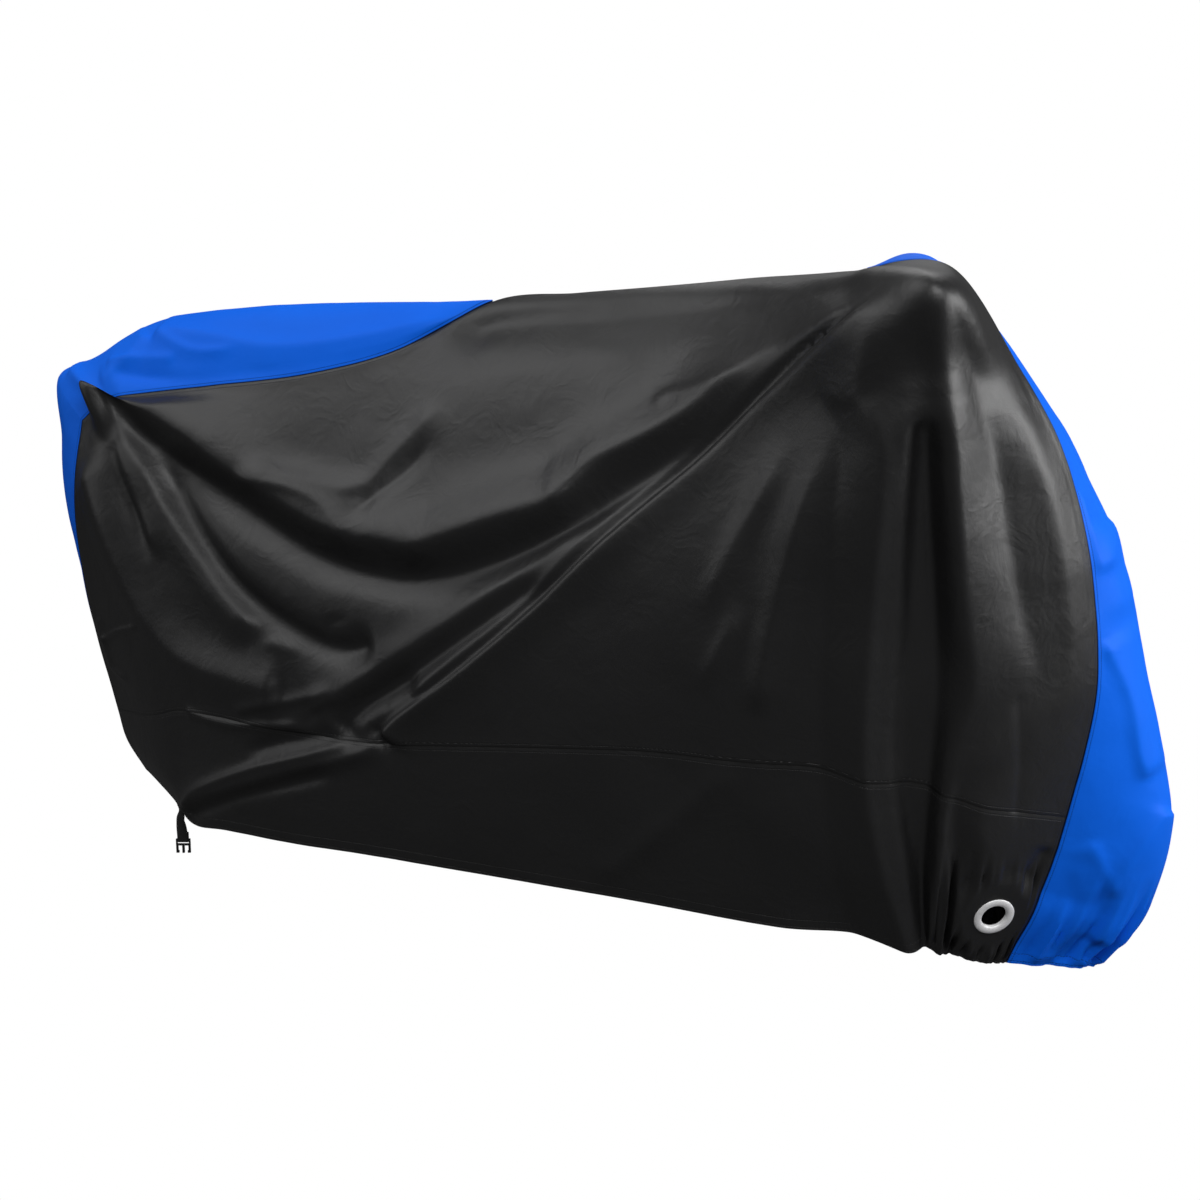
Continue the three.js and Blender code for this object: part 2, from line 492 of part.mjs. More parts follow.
// Blue panels: a strip between the near seam and the far seam, rounded across its middle line.
const STRIP_COLUMNS = 6, NOSE_FACING = 1, TAIL_FACING = -1;
function strip(edges, middle, facing) {
  const line = padded(middle);
  const columns = Array.from({ length: STRIP_COLUMNS + 1 }, (_, k) => 1 - 2 * k / STRIP_COLUMNS);
  const pts = edges.map((e) => {
    const [x, z] = along(line, e.s);
    return columns.map((t) => {
      const edge = (t > 0 ? e.near : e.far).p, w = Math.abs(t), f = 1 - w * w;
      return new THREE.Vector3(edge.x + (x - edge.x) * f, edge.y * w, edge.z + (z - edge.z) * f);
    });
  });
  return pts.map((row, i) => row.map((p, j) => {
    if (i === 0 || j === 0) return edges[i].near;
    if (j === STRIP_COLUMNS) return edges[i].far;
    const a = pts[limit(i + 1, pts.length - 1)][j].clone().sub(pts[i - 1][j]);
    return { p, n: a.cross(row[j + 1].clone().sub(row[j - 1])).multiplyScalar(facing).normalize() };
  }));
}
const TIP_BACK = 1.5;       // the point of a strip stays this far inside its corner
function tip(u, step) {
  const { p, n } = sidePoint(u, 0, -1);
  const end = { p: p.setX(p.x + step), n };
  return { s: 0, near: end, far: end };
}
function seamEnds(s, u, v, direction, sign) {
  const [near, far] = [-1, 1].map((side) => {
    const q = panelPoint(u, v, side);
    q.p.addScaledVector(direction(u, v, side), sign * HALF_GAP);
    return q;
  });
  return { s, near, far };
}
const noseEdges = KV.map((v) => (v === 0 ? tip(0, TIP_BACK) : seamEnds(v, 0, v, alongU, -1)));
node('nose_panel', sheet(strip(noseEdges, NOSE_MIDDLE, NOSE_FACING)), blue);

const tailTop = KU.filter((u) => u >= RIDGE_END).map((u) => (
  u === RIDGE_END ? tip(u, -TIP_BACK) : seamEnds(u - RIDGE_END, u, 0, alongV, -1)));
const tailDown = KV.filter((v) => v > 0).map((v) => (
  seamEnds(LAST_U - RIDGE_END + v, LAST_U, v, alongU, 1)));
node('tail_panel', sheet(strip([...tailTop, ...tailDown], TAIL_MIDDLE, TAIL_FACING)), blue);

// Belly strap: one half hangs from the hem on each side. The webbing is butted to the hem, turns a
// little as it hangs and loops round the bar of its buckle: the prong half near, the socket far.
const STRAP_U = 14, STRAP_U_BACK = 14.5, STRAP_U_FRONT = 14 - 1 / 3;
const STRAP_TURN = THREE.MathUtils.degToRad(20), STRAP_BEND = 8, STRAP_STEPS = 5.5, HEM_PLAY = 0.6;
const BAR = 3.5, SLOT = 6, SLOT_HALF = 11, SOCKET_THICK = 10, POCKET = 6.4;
// Path of the webbing round the bar: [out from the bar, above the bar].
const LOOP = [[3.9, 6], [3.9, -0.5], [3.6, -2.4], [2.4, -3.7], [0, -4.1], [-2.4, -3.7],
  [-3.6, -2.4], [-3.9, -0.5], [-3.9, 14]];
function strapPath(side) {
  const hem = panelPoint(STRAP_U, LAST_V, side), down = alongV(STRAP_U, LAST_V, side);
  const back = panelPoint(STRAP_U_BACK, LAST_V, side).p.sub(hem.p);
  const front = panelPoint(STRAP_U_FRONT, LAST_V, side).p.sub(hem.p);
  const out = new THREE.Vector3(Math.sin(STRAP_TURN), side * Math.cos(STRAP_TURN), 0);
  const wide = UP.clone().cross(out);
  const start = hem.p.clone().addScaledVector(hem.n, -CLOTH / 2).addScaledVector(down, HEM_PLAY);
  const bar = start.clone().addScaledVector(down, STRAP_BEND);
  bar.z -= STRAP_LENGTH - STRAP_BEND;
  const hang = [0, 1, 2, 3, 4].map((k) => start.clone().lerp(bar, k / STRAP_STEPS));
  hang[1].copy(start).addScaledVector(down, STRAP_LENGTH / STRAP_STEPS);
  bar.addScaledVector(out, -LOOP[0][0]);
  const loop = LOOP.map(([h, z]) => bar.clone().addScaledVector(out, h).addScaledVector(UP, z));
  const path = [...hang, ...loop];
  const hemWay = front.clone().sub(back).normalize();
  if (hemWay.dot(wide) < 0) hemWay.negate();
  const rows = path.map((p, i) => {
    const across = hemWay.clone().lerp(wide, smooth(i / hang.length)).normalize();
    const run = path[limit(i + 1, path.length - 1)].clone().sub(path[limit(i - 1, path.length - 1)]);
    const n = run.cross(across).normalize();
    return [-1, 1].map((w) => ({ p: p.clone().addScaledVector(across, w * STRAP_WIDTH / 2), n }));
  });
  // the top end follows the slope of the hem that it is sewn to
  rows[0].forEach((q) => {
    const way = q.p.clone().sub(start).dot(front) > 0 ? front : back;
    q.p.copy(start).addScaledVector(way, STRAP_WIDTH / 2 / way.length());
  });
  rows.flat().forEach((q) => q.p.addScaledVector(q.n, STRAP_THICK / 2));
  return { rows, bar, out, wide };
}
function plate(points, hole, depth) {
  const shape = new THREE.Shape(points.map((p) => new THREE.Vector2(...p)));
  shape.holes.push(new THREE.Path(hole.map((p) => new THREE.Vector2(...p))));
  const extruded = new THREE.ExtrudeGeometry(shape, { depth, bevelEnabled: false });
  return toSolid(bare(extruded.translate(0, 0, -depth / 2)));
}
const block = (w, h, d, y) => toSolid(bare(new THREE.BoxGeometry(w, h, d).translate(0, y, 0)));
const half = BUCKLE_WIDTH / 2, top = BAR / 2, slotEnd = -BAR / 2 - SLOT;
const SLOT_OUTLINE = [[-SLOT_HALF, -top], [SLOT_HALF, -top], [SLOT_HALF, slotEnd], [-SLOT_HALF, slotEnd]];
// Outline of the prong half: [across, above the bar], two sprung prongs and a middle guide.
const PRONGS = [[-half, top], [-half, -24], [-half + 2, -27], [-half + 3.7, -24], [-half + 4, -11],
  [-2, -11], [-2, -25], [2, -25], [2, -11], [half - 4, -11], [half - 3.7, -24], [half - 2, -27],
  [half, -24], [half, top]];
const SOCKET = [[-half, top], [-half, -20], [half, -20], [half, top]];
const buckles = {
  near: () => plate(PRONGS, SLOT_OUTLINE, BUCKLE_THICK),
  far: () => plate(SOCKET, SLOT_OUTLINE, BUCKLE_THICK)
    .add(block(BUCKLE_WIDTH, 24, SOCKET_THICK, -22))
    .subtract(block(BUCKLE_WIDTH - 4, 20, POCKET, -26)),
};
for (const [name, side] of SIDES) {
  const { rows, bar, out, wide } = strapPath(side);
  node('strap_' + name, sheet(rows, STRAP_THICK), webbing);
  const buckle = node('buckle_' + name, toGeometry(buckles[name]()), plastic);
  buckle.quaternion.setFromRotationMatrix(new THREE.Matrix4().makeBasis(wide, UP, out));
  buckle.position.copy(bar);
}

export default cover;
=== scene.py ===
import math

import bpy
import numpy as np
from mathutils import Matrix, Vector, noise


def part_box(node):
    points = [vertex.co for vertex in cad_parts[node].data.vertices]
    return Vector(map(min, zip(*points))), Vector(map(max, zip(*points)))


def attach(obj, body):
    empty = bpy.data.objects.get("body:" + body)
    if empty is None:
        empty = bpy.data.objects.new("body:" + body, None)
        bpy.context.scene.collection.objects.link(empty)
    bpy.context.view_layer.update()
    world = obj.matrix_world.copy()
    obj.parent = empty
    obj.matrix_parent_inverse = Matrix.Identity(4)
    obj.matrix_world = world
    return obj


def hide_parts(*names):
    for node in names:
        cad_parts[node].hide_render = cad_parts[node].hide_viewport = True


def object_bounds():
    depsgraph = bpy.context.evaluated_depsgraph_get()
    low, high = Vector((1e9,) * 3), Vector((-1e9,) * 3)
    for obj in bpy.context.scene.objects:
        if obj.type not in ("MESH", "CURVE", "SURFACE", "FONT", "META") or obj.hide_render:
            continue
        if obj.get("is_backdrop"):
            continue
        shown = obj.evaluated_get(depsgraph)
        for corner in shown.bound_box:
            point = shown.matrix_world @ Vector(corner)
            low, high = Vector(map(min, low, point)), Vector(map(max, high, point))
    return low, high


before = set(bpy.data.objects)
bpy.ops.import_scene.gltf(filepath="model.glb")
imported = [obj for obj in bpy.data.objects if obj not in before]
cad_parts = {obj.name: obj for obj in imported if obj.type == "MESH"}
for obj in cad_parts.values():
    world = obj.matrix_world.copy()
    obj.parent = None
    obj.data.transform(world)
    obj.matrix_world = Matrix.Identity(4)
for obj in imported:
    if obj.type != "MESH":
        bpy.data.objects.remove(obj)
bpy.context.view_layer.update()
bpy.ops.object.select_all(action="DESELECT")


# Camera
# It stands about 3 m off the near side, toward the nose and just above the cover's top, and
# looks down a little through a 54 mm lens.
CAMERA_PLACE = (1.08, -2.93, 0.063)
CAMERA_TURN = math.radians(20.5)
CAMERA_DOWN = math.radians(10.9)
bpy.ops.object.camera_add(
    location=CAMERA_PLACE, rotation=(math.radians(90) - CAMERA_DOWN, 0, CAMERA_TURN)
)
camera = bpy.context.object
camera.name = "camera"
camera.data.sensor_width = 36
camera.data.lens = 54
bpy.context.scene.camera = camera


# Cloth shape
# Coated polyester, drawn over a load and held up by it. A side is a net of sections from the nose
# seam to the tail seam, and each section runs down the cloth from the top ridge to the hem.
# A point is forward, half width and height above the ground, in millimetres, and a section has
# nine of them.
TOP_HEIGHT = 1137
SECTIONS = np.array([
    [445, 0, 1177, 615, 200, 1182, 718, 170, 1035, 790, 150, 900, 835, 135, 725,
     850, 125, 530, 815, 120, 325, 785, 115, 210, 730, 105, 65],
    [430, 0, 1173, 640, 310, 1170, 700, 250, 1010, 760, 205, 870, 795, 185, 715,
     805, 175, 530, 770, 165, 340, 745, 150, 215, 700, 125, 70],
    [405, 0, 1171, 625, 355, 1172, 660, 330, 1025, 690, 290, 875, 725, 260, 710,
     735, 240, 540, 705, 225, 360, 690, 195, 230, 655, 150, 80],
    [370, 0, 1168, 600, 365, 1172, 615, 360, 1025, 630, 335, 865, 640, 310, 700,
     645, 290, 540, 635, 270, 385, 625, 235, 245, 615, 175, 95],
    [325, 0, 1165, 560, 350, 1158, 565, 360, 1010, 555, 345, 845, 545, 325, 685,
     540, 310, 535, 540, 295, 405, 550, 260, 260, 580, 190, 100],
    [260, 0, 1161, 490, 304, 1115, 480, 325, 960, 460, 335, 810, 450, 330, 665,
     440, 325, 530, 440, 315, 420, 450, 294, 285, 500, 230, 125],
    [170, 0, 1153, 355, 200, 1060, 355, 270, 905, 345, 300, 770, 335, 315, 640,
     325, 320, 520, 320, 315, 420, 330, 300, 295, 370, 270, 140],
    [65, 0, 1144, 190, 130, 1045, 200, 220, 885, 205, 275, 750, 200, 300, 625,
     195, 310, 515, 185, 310, 420, 190, 305, 305, 205, 285, 155],
    [-60, 0, 1134, 20, 120, 1025, 35, 195, 875, 45, 255, 745, 45, 285, 620,
     40, 300, 510, 40, 305, 410, 35, 300, 305, 40, 290, 165],
    [-210, 0, 1120, -155, 110, 1005, -140, 175, 870, -120, 235, 740, -115, 270, 615,
     -120, 290, 500, -120, 295, 395, -130, 295, 305, -135, 285, 170],
    [-365, 70, 1035, -340, 125, 940, -320, 175, 835, -305, 220, 720, -300, 255, 605,
     -295, 275, 490, -300, 285, 380, -305, 285, 290, -315, 280, 175],
    [-530, 95, 990, -510, 140, 895, -495, 175, 795, -490, 210, 690, -485, 235, 585,
     -485, 250, 480, -485, 260, 375, -495, 260, 280, -505, 255, 170],
    [-715, 100, 965, -685, 145, 870, -675, 170, 765, -665, 195, 670, -660, 210, 570,
     -655, 220, 470, -660, 225, 380, -660, 225, 270, -660, 220, 165],
    [-865, 100, 945, -840, 140, 845, -830, 160, 740, -815, 175, 640, -795, 185, 545,
     -785, 190, 455, -765, 195, 375, -760, 190, 260, -750, 185, 155],
    [-960, 105, 930, -955, 130, 830, -945, 145, 710, -925, 150, 600, -900, 155, 510,
     -875, 160, 420, -855, 160, 350, -845, 155, 255, -805, 150, 175],
    [-1025, 90, 890, -1050, 85, 790, -1060, 80, 690, -1053, 75, 590, -1036, 75, 500,
     -1012, 75, 410, -990, 75, 330, -974, 72, 270, -938, 70, 215],
], float).reshape(-1, 9, 3)
# The far front corner lies further back and lower, so these points replace the first sections'
# points at the level given first.
FAR_POINTS = {
    1: [[540, 190, 1150], [520, 270, 1140], [490, 315, 1135], [450, 335, 1130], [420, 330, 1115],
     [385, 275, 1080], [320, 190, 1045]],
    2: [[665, 165, 1020], [640, 240, 995], [600, 310, 1005], [555, 340, 1005], [515, 340, 990],
     [440, 310, 945], [335, 262, 895]],
    3: [[768, 148, 893], [735, 200, 865], [660, 280, 868], [600, 325, 858], [530, 335, 840],
     [445, 330, 805]],
}
# u counts the sections from the nose seam, and v the levels from the top to the hem.
LAST_U, LAST_V = 15, 8
# Sections 0 to 9 start on the ridge, the others on the tail seam. The low seam is at level 6.
RIDGE_END, SEAM_LEVEL = 9, 6
# Least half width just below the ridge, and the part of a level over which it is reached.
RIDGE_SPREAD, RIDGE_BLEND = 10, 0.25
NEAR, FAR = -1, 1
SIDE_NAMES = {NEAR: "near", FAR: "far"}


def smooth(t):
    """0 below 0, 1 above 1 and smooth in between."""
    t = np.clip(t, 0, 1)
    return t * t * (3 - 2 * t)


def spline(p, q, r, s, t):
    """A smooth curve from q at t = 0 to r at t = 1, with p before and s after them."""
    return 0.5 * (2 * q + (r - p) * t + (2 * p - 5 * q + 4 * r - s) * t**2
                  + (3 * q - p - 3 * r + s) * t**3)


def carried_on(points):
    """A row of points with one more past each end."""
    points = np.asarray(points, float)
    return np.concatenate([[2 * points[0] - points[1]], points, [2 * points[-1] - points[-2]]])


def control_net(sections):
    """A side's points; past the ridge they mirror the cloth, so that it is rounded there."""
    net = np.stack([carried_on(row) for row in carried_on(sections)])
    for i in range(len(net)):
        section = min(max(i - 1, 0), LAST_U)
        if section <= RIDGE_END:
            first, second = sections[section][:2]
            net[i, 0] = 0.5 * second * (1, -1, 1) + 0.5 * (2 * first - second)
    return net


far_sections = SECTIONS.copy()
for level, points in FAR_POINTS.items():
    far_sections[:len(points), level] = points
NETS = {NEAR: control_net(SECTIONS), FAR: control_net(far_sections)}


def side_shape(u, v, side):
    """The smooth side without folds: forward, half width and height in millimetres."""
    i = np.clip(np.floor(u).astype(int), 0, LAST_U - 1)
    j = np.clip(np.floor(v).astype(int), 0, LAST_V - 1)
    across, down = (u - i)[..., None], (v - j)[..., None]
    net = NETS[side]
    rows = [spline(*[net[i + a, j + b] for b in range(4)], down) for a in range(4)]
    p = spline(*rows, across)
    least = np.where(u <= RIDGE_END, RIDGE_SPREAD * np.clip(v / RIDGE_BLEND, 0, 1), 0)
    p[..., 1] = np.where((v <= 0) & (u <= RIDGE_END), 0, np.maximum(least, p[..., 1]))
    return p


def unit(ways):
    return ways / np.linalg.norm(ways, axis=-1, keepdims=True)


def side_facing(u, v, side, step=0.02):
    """The way the smooth side faces."""
    def at(a, b):
        return side_shape(np.clip(a, 0, LAST_U), np.clip(b, 0, LAST_V), side)
    n = np.cross(at(u, v + step) - at(u, v - step), at(u + step, v) - at(u - step, v))
    return unit(n)


# Folds
# Each fold of the side panels is a soft ridge or trough along a line on the cloth, as it lies in
# the side view. The far side has fewer of them.
# Columns: line as pairs of forward and height, width on the left of the line and on its right,
# height (minus is a trough), sharpness of its edge, and the length over which each end dies out.
NEAR_FOLDS = dict(
    swag_crest=([-955, 930, -920, 940, -835, 910, -735, 870, -630, 815, -505, 760, -400, 725, -325, 720,
     -255, 715, -180, 740, -90, 770, 0, 800, 60, 860, 145, 905, 225, 950, 325, 1030, 450, 1105, 545, 1160],
     80, 34, 30, 0.4, 40, 420),
    swag_trough=([-940, 910, -845, 855, -725, 795, -635, 755, -495, 694, -400, 670, -290, 660, -190, 676,
     -95, 708, -5, 750, 75, 800, 155, 850, 235, 904, 335, 975, 435, 1061], 34, 46, -22, 0.3, 40, 300),
    short_tail_valley=([-950, 895, -910, 805, -870, 735, -820, 640], 22, 28, -15, 0.2, 60, 130),
    tail_valley=([-845, 840, -785, 775, -710, 685, -620, 610, -505, 555, -405, 530, -320, 550],
     34, 34, -20, 0.2, 90, 40),
    short_tail_crest=([-970, 910, -935, 860, -895, 790, -845, 720, -790, 650], 26, 24, 9, 0.3, 30, 60),
    tail_crest=([-935, 890, -865, 825, -795, 740, -710, 655, -635, 585, -565, 540],
     22, 50, 15, 0.4, 30, 60),
    rear_step=([-1010, 835, -960, 740, -905, 645, -845, 555, -785, 500, -720, 470, -625, 455, -515, 445],
     50, 60, 18, 0.3, 60, 30),
    tension_ridge=([555, 1150, 490, 1090, 405, 1015, 320, 950, 240, 875, 160, 805, 80, 730, 0, 650,
     -85, 575, -175, 500, -270, 430, -300, 385], 40, 24, 22, 0.6, 60, 20),
    tension_tail=([-300, 385, -370, 350, -480, 315, -595, 270, -730, 215, -775, 185],
     24, 36, 13, 0.6, 20, 0),
    thin_valley=([555, 1160, 490, 1105, 400, 1040, 320, 970, 235, 890, 160, 820, 80, 745, 0, 665, -85, 585,
     -175, 510, -270, 440, -335, 390], 11, 11, -9, 0.4, 60, 20),
    upper_ridge=([520, 1150, 400, 1050, 315, 980, 235, 905, 155, 840, 75, 765, 0, 685, -90, 605, -180, 530,
     -250, 465], 16, 46, 13, 0.4, 80, 40),
    middle_ridge=([80, 780, -5, 720, -95, 660, -175, 600, -275, 535, -370, 470, -465, 415],
     26, 40, 12, 0.4, 90, 40),
    middle_valley=([20, 695, -90, 620, -180, 555, -270, 490, -355, 435, -400, 385],
     26, 26, -15, 0.2, 90, 20),
    low_ridge=([-370, 375, -480, 335, -595, 295, -725, 235, -765, 200], 14, 12, 6, 0.5, 30, 0),
    low_streak=([-395, 320, -505, 280, -620, 240, -750, 180], 16, 26, -8, 0.2, 60, 0),
    low_shade=([-280, 380, -395, 380, -500, 360, -615, 320], 22, 22, -9, 0.2, 30, 60),
    plate_valley=([-260, 895, -300, 845, -360, 790, -400, 745], 22, 30, -9, 0.4, 60, 50),
    plate_crest=([-250, 950, -290, 905, -335, 850, -385, 800, -515, 810, -640, 825],
     36, 30, 8, 0.4, 50, 60),
    plate_line=([-650, 805, -515, 790, -445, 765, -405, 725], 18, 14, 5, 0.6, 40, 0),
    ridge_trough=([-295, 1060, -180, 1085, 5, 1095, 185, 1115, 380, 1140, 520, 1165],
     34, 50, -14, 0.2, 80, 60),
    plate_crease=([145, 950, 170, 970, 225, 980, 330, 1020], 14, 20, 5, 0.5, 20, 60),
    low_notch=([-255, 715, -270, 755, -245, 790], 30, 20, 3, 0.4, 0, 40),
    high_notch=([0, 800, -15, 835, -5, 880], 20, 30, 3, 0.4, 0, 60),
    curtain_ridge=([475, 960, 430, 825, 390, 650, 360, 490], 26, 32, 12, 0.2, 160, 60),
    middle_curtain_ridge=([400, 925, 325, 770, 260, 635], 24, 30, 8, 0.2, 100, 80),
    rear_curtain_ridge=([340, 675, 305, 600, 265, 520], 18, 24, 6, 0.2, 60, 60),
    low_curtain_ridge=([335, 425, 265, 350, 165, 255, 75, 180], 30, 30, 6, 0.2, 60, 60),
    low_pocket=([795, 280, 770, 230, 745, 180], 20, 20, -7, 0.2, 20, 20),
    packing_crease=([745, 550, 750, 435, 745, 350], 22, 10, -3, 0.8, 20, 0),
    rear_crumple=([-1000, 470, -935, 500, -850, 525], 8, 8, 5, 0.5, 0, 30),
    low_rear_crumple=([-1015, 515, -1000, 470, -980, 420, -915, 405], 12, 10, 5, 0.5, 10, 30),
    long_pucker=([-750, 380, -650, 370, -565, 380, -475, 390], 10, 14, 5, 0.5, 10, 20),
    middle_pucker=([-625, 395, -560, 415, -480, 435, -395, 465], 16, 12, 5, 0.4, 20, 40),
    short_pucker=([-480, 385, -435, 420, -380, 440], 14, 14, -3, 0.4, 20, 30),
    small_dent=([-440, 570, -400, 580, -375, 585], 14, 18, -3, 0.3, 10, 30),
    band_tick=([-565, 530, -530, 525, -480, 515], 14, 16, 3, 0.3, 20, 30),
)
# Below the front corner the near side falls in pleats that fan out toward the nose.
# Columns: height above the ground, then places forward and heights over the smooth side, of the
# first pleat's foot, crest and edge, the trough's foot and bottom, the second pleat's crest, the
# hollow behind the third pleat, its crest and its end.
PLEATS = [
    (1178, [520, 560, 595, 602, 608, 615, 625, 635, 650], [0] * 9),
    (1120, [490, 550, 598, 606, 614, 632, 655, 668, 680], [0, 9, -4, -5, -2, 4, -4, 3, 0]),
    (1065, [460, 530, 592, 602, 612, 634, 668, 690, 705], [0, 12, -5, -6, -4, 6, -7, 4, 0]),
    (1000, [440, 515, 592, 604, 618, 638, 685, 715, 735], [-2, 13, -1, -3, -2, 10, -10, 6, 0]),
    (972, [460, 535, 594, 604, 621, 641, 693, 724, 747], [-3, 13, 3, -2, -3, 13, -11, 7, 0]),
    (948, [475, 552, 593, 601, 622, 643, 700, 735, 762], [-4, 14, 4, -17, -20, 15, -12, 8, 0]),
    (915, [485, 560, 591, 600, 624, 646, 708, 747, 780], [-6, 16, 0, -23, -29, 16, -13, 9, 0]),
    (850, [480, 556, 587, 598, 627, 650, 720, 770, 810], [-8, 18, -4, -26, -33, 17, -13, 10, 0]),
    (760, [475, 546, 582, 595, 631, 658, 735, 792, 835], [-10, 19, -6, -26, -36, 15, -12, 9, 0]),
    (665, [470, 538, 577, 592, 636, 668, 754, 808, 850], [-12, 18, -6, -25, -36, 13, -8, 7, 0]),
    (560, [465, 531, 570, 586, 639, 680, 770, 815, 850], [-12, 18, -6, -23, -36, 9, -3, 4, 0]),
    (460, [465, 527, 567, 582, 634, 655, 700, 780, 840], [-12, 17, -5, -24, -34, -3, 6, 3, 0]),
    (370, [470, 532, 573, 587, 627, 646, 662, 700, 820], [-10, 16, -4, -23, -30, 4, -8, 5, 0]),
    (250, [480, 551, 588, 600, 620, 636, 662, 702, 790], [-8, 16, -2, -20, -27, 10, -14, 6, 0]),
    (140, [500, 575, 598, 607, 615, 625, 650, 692, 770], [-10, 15, 0, -17, -19, 11, -13, 5, 0]),
    (60, [525, 588, 606, 613, 619, 629, 646, 684, 760], [-6, 10, 0, -10, -12, 8, -8, 4, 0]),
]
FAR_FOLDS = dict(
    swag_crest=([-940, 925, -800, 880, -640, 800, -450, 730, -280, 705, -100, 755, 60, 850, 260, 960,
     540, 1150], 80, 36, 26, 0.3, 60, 120),
    swag_trough=([-900, 870, -760, 790, -600, 700, -420, 650, -250, 640, -70, 700, 110, 810, 300, 930],
     36, 50, -18, 0.2, 60, 100),
    rear_step=([-990, 820, -920, 680, -820, 560, -690, 480, -540, 440], 50, 60, 16, 0.3, 60, 60),
    tension_ridge=([550, 1140, 420, 1020, 260, 870, 100, 720, -80, 570, -260, 430, -480, 310, -740, 200],
     40, 34, 20, 0.4, 60, 40),
    curtain_ridge=([500, 930, 470, 780, 420, 620, 350, 470], 32, 32, 12, 0.2, 100, 60),
    front_ridge=([590, 980, 570, 800, 545, 600, 535, 400, 560, 200], 34, 38, 22, 0.2, 60, 40),
    front_valley=([620, 950, 635, 760, 630, 560, 620, 360, 615, 170], 30, 30, -28, 0.2, 60, 30),
    nose_ridge=([640, 1100, 670, 890, 700, 690, 730, 520], 38, 30, 16, 0.2, 60, 80),
    middle_ridge=([60, 770, -90, 650, -260, 530, -440, 430], 26, 40, 11, 0.3, 90, 60),
    tail_valley=([-840, 830, -720, 690, -580, 580, -400, 530], 34, 34, -15, 0.2, 90, 60),
)
# A fold ends this many widths from its line, and fades over the last of them.
FOLD_REACH, FOLD_FADE = 2.6, 0.6
# Places on a curve between two of its points.
CURVE_STEPS = (0, 0.25, 0.5, 0.75)
# How far the first pleat runs out to the rear, and the rounding of all corners: (offset, share).
PLEAT_END = 110
PLEAT_ROUNDING = [(-9, 0.15), (-4, 0.2), (0, 0.3), (4, 0.2), (9, 0.15)]


def fold_height(x, z, line, left, right, height, sharp, fade_in, fade_out):
    """Height of one fold at points (x, z), in millimetres."""
    line = np.array(line, float).reshape(-1, 2)
    knots = carried_on(line)
    steps = [spline(*knots[i:i + 4], t) for i in range(len(line) - 1) for t in CURVE_STEPS]
    path = np.array(steps + [line[-1]])
    out = np.zeros(x.shape)
    reach = FOLD_REACH * max(left, right)
    low, high = path.min(0) - reach, path.max(0) + reach
    near_it = (x > low[0]) & (x < high[0]) & (z > low[1]) & (z < high[1])
    q = np.stack([x[near_it], z[near_it]], 1)
    best, side, at = np.full(len(q), np.inf), np.ones(len(q)), np.zeros(len(q))
    run = 0.0
    for a, b in zip(path[:-1], path[1:]):
        way = b - a
        length = np.linalg.norm(way)
        s = np.clip((q - a) @ way / length**2, 0, 1)
        off = q - a - s[:, None] * way
        away = np.linalg.norm(off, axis=1)
        nearer = away < best
        best[nearer] = away[nearer]
        side[nearer] = (way[0] * off[:, 1] - way[1] * off[:, 0])[nearer]
        at[nearer] = (run + s * length)[nearer]
        run += length
    t = best / np.where(side > 0, left, right)
    crest = (1 - sharp) * np.exp(-1.6 * t * t)
    crest += sharp * np.exp(-1.7 * (np.sqrt(t * t + 0.03) - 0.17))
    ends = smooth(at / fade_in) if fade_in else 1
    if fade_out:
        ends = ends * smooth((run - at) / fade_out)
    out[near_it] = height * ends * crest * smooth((FOLD_REACH - t) / FOLD_FADE)
    return out


def pleat_height(x, z):
    """Height of the pleats at points (x, z), in millimetres."""
    levels = np.array([row[0] for row in PLEATS], float)
    knots = carried_on([row[1:] for row in PLEATS])
    z = np.clip(z, levels[-1] + 0.001, levels[0])
    i = np.clip(np.searchsorted(-levels, -z, side="right") - 1, 0, len(levels) - 2)
    t = ((levels[i] - z) / (levels[i] - levels[i + 1]))[..., None, None]
    row = spline(*[knots[i + k] for k in range(4)], t)
    places, heights = row[..., 0, :], row[..., 1, :]
    out = np.zeros(x.shape)
    for shift, share in PLEAT_ROUNDING:
        at = x + shift
        for k in range(row.shape[-1] - 1):
            x0, x1 = places[..., k], places[..., k + 1]
            h0, h1 = heights[..., k], heights[..., k + 1]
            s = np.clip((at - x0) / (x1 - x0), 0, 1)
            out += share * np.where((at > x0) & (at <= x1), h0 + (h1 - h0) * s, 0)
        rear = smooth((at - places[..., 0] + PLEAT_END) / PLEAT_END)
        out += share * np.where(at <= places[..., 0], heights[..., 0] * rear, 0)
    return out


def uneven(points, *waves):
    """Gentle unevenness in millimetres. A wave is (height, spacing in metres, seed)."""
    out = np.zeros(points.shape[:-1])
    for height, spacing, seed in waves:
        shift = Vector((seed * 3.7, seed * 1.3, seed * 2.1))
        values = [noise.noise(Vector(p) / spacing + shift) for p in points.reshape(-1, 3)]
        out += height * np.array(values).reshape(out.shape)
    return out


# Side panels
# Four panels of black coated polyester: an upper and a lower one on each side, sewn together
# along the low seam, to each other along the top ridge, and to the blue panels at both ends.

# A fold keeps this share of its height at a seam, and grows over this part of a level or section.
SEAM_SHARE = 0.25
TOP_BLEND, NOSE_BLEND, TAIL_BLEND = 0.35, 0.35, 0.25
# Half width below which the folds die out.
RIDGE_FADE = 40
# The folds fan out from the front corner, where the cloth is pulled smooth.
APEX, APEX_SHARE, APEX_RADIUS, APEX_BLEND = (590, 1178), 0.15, 20, 130
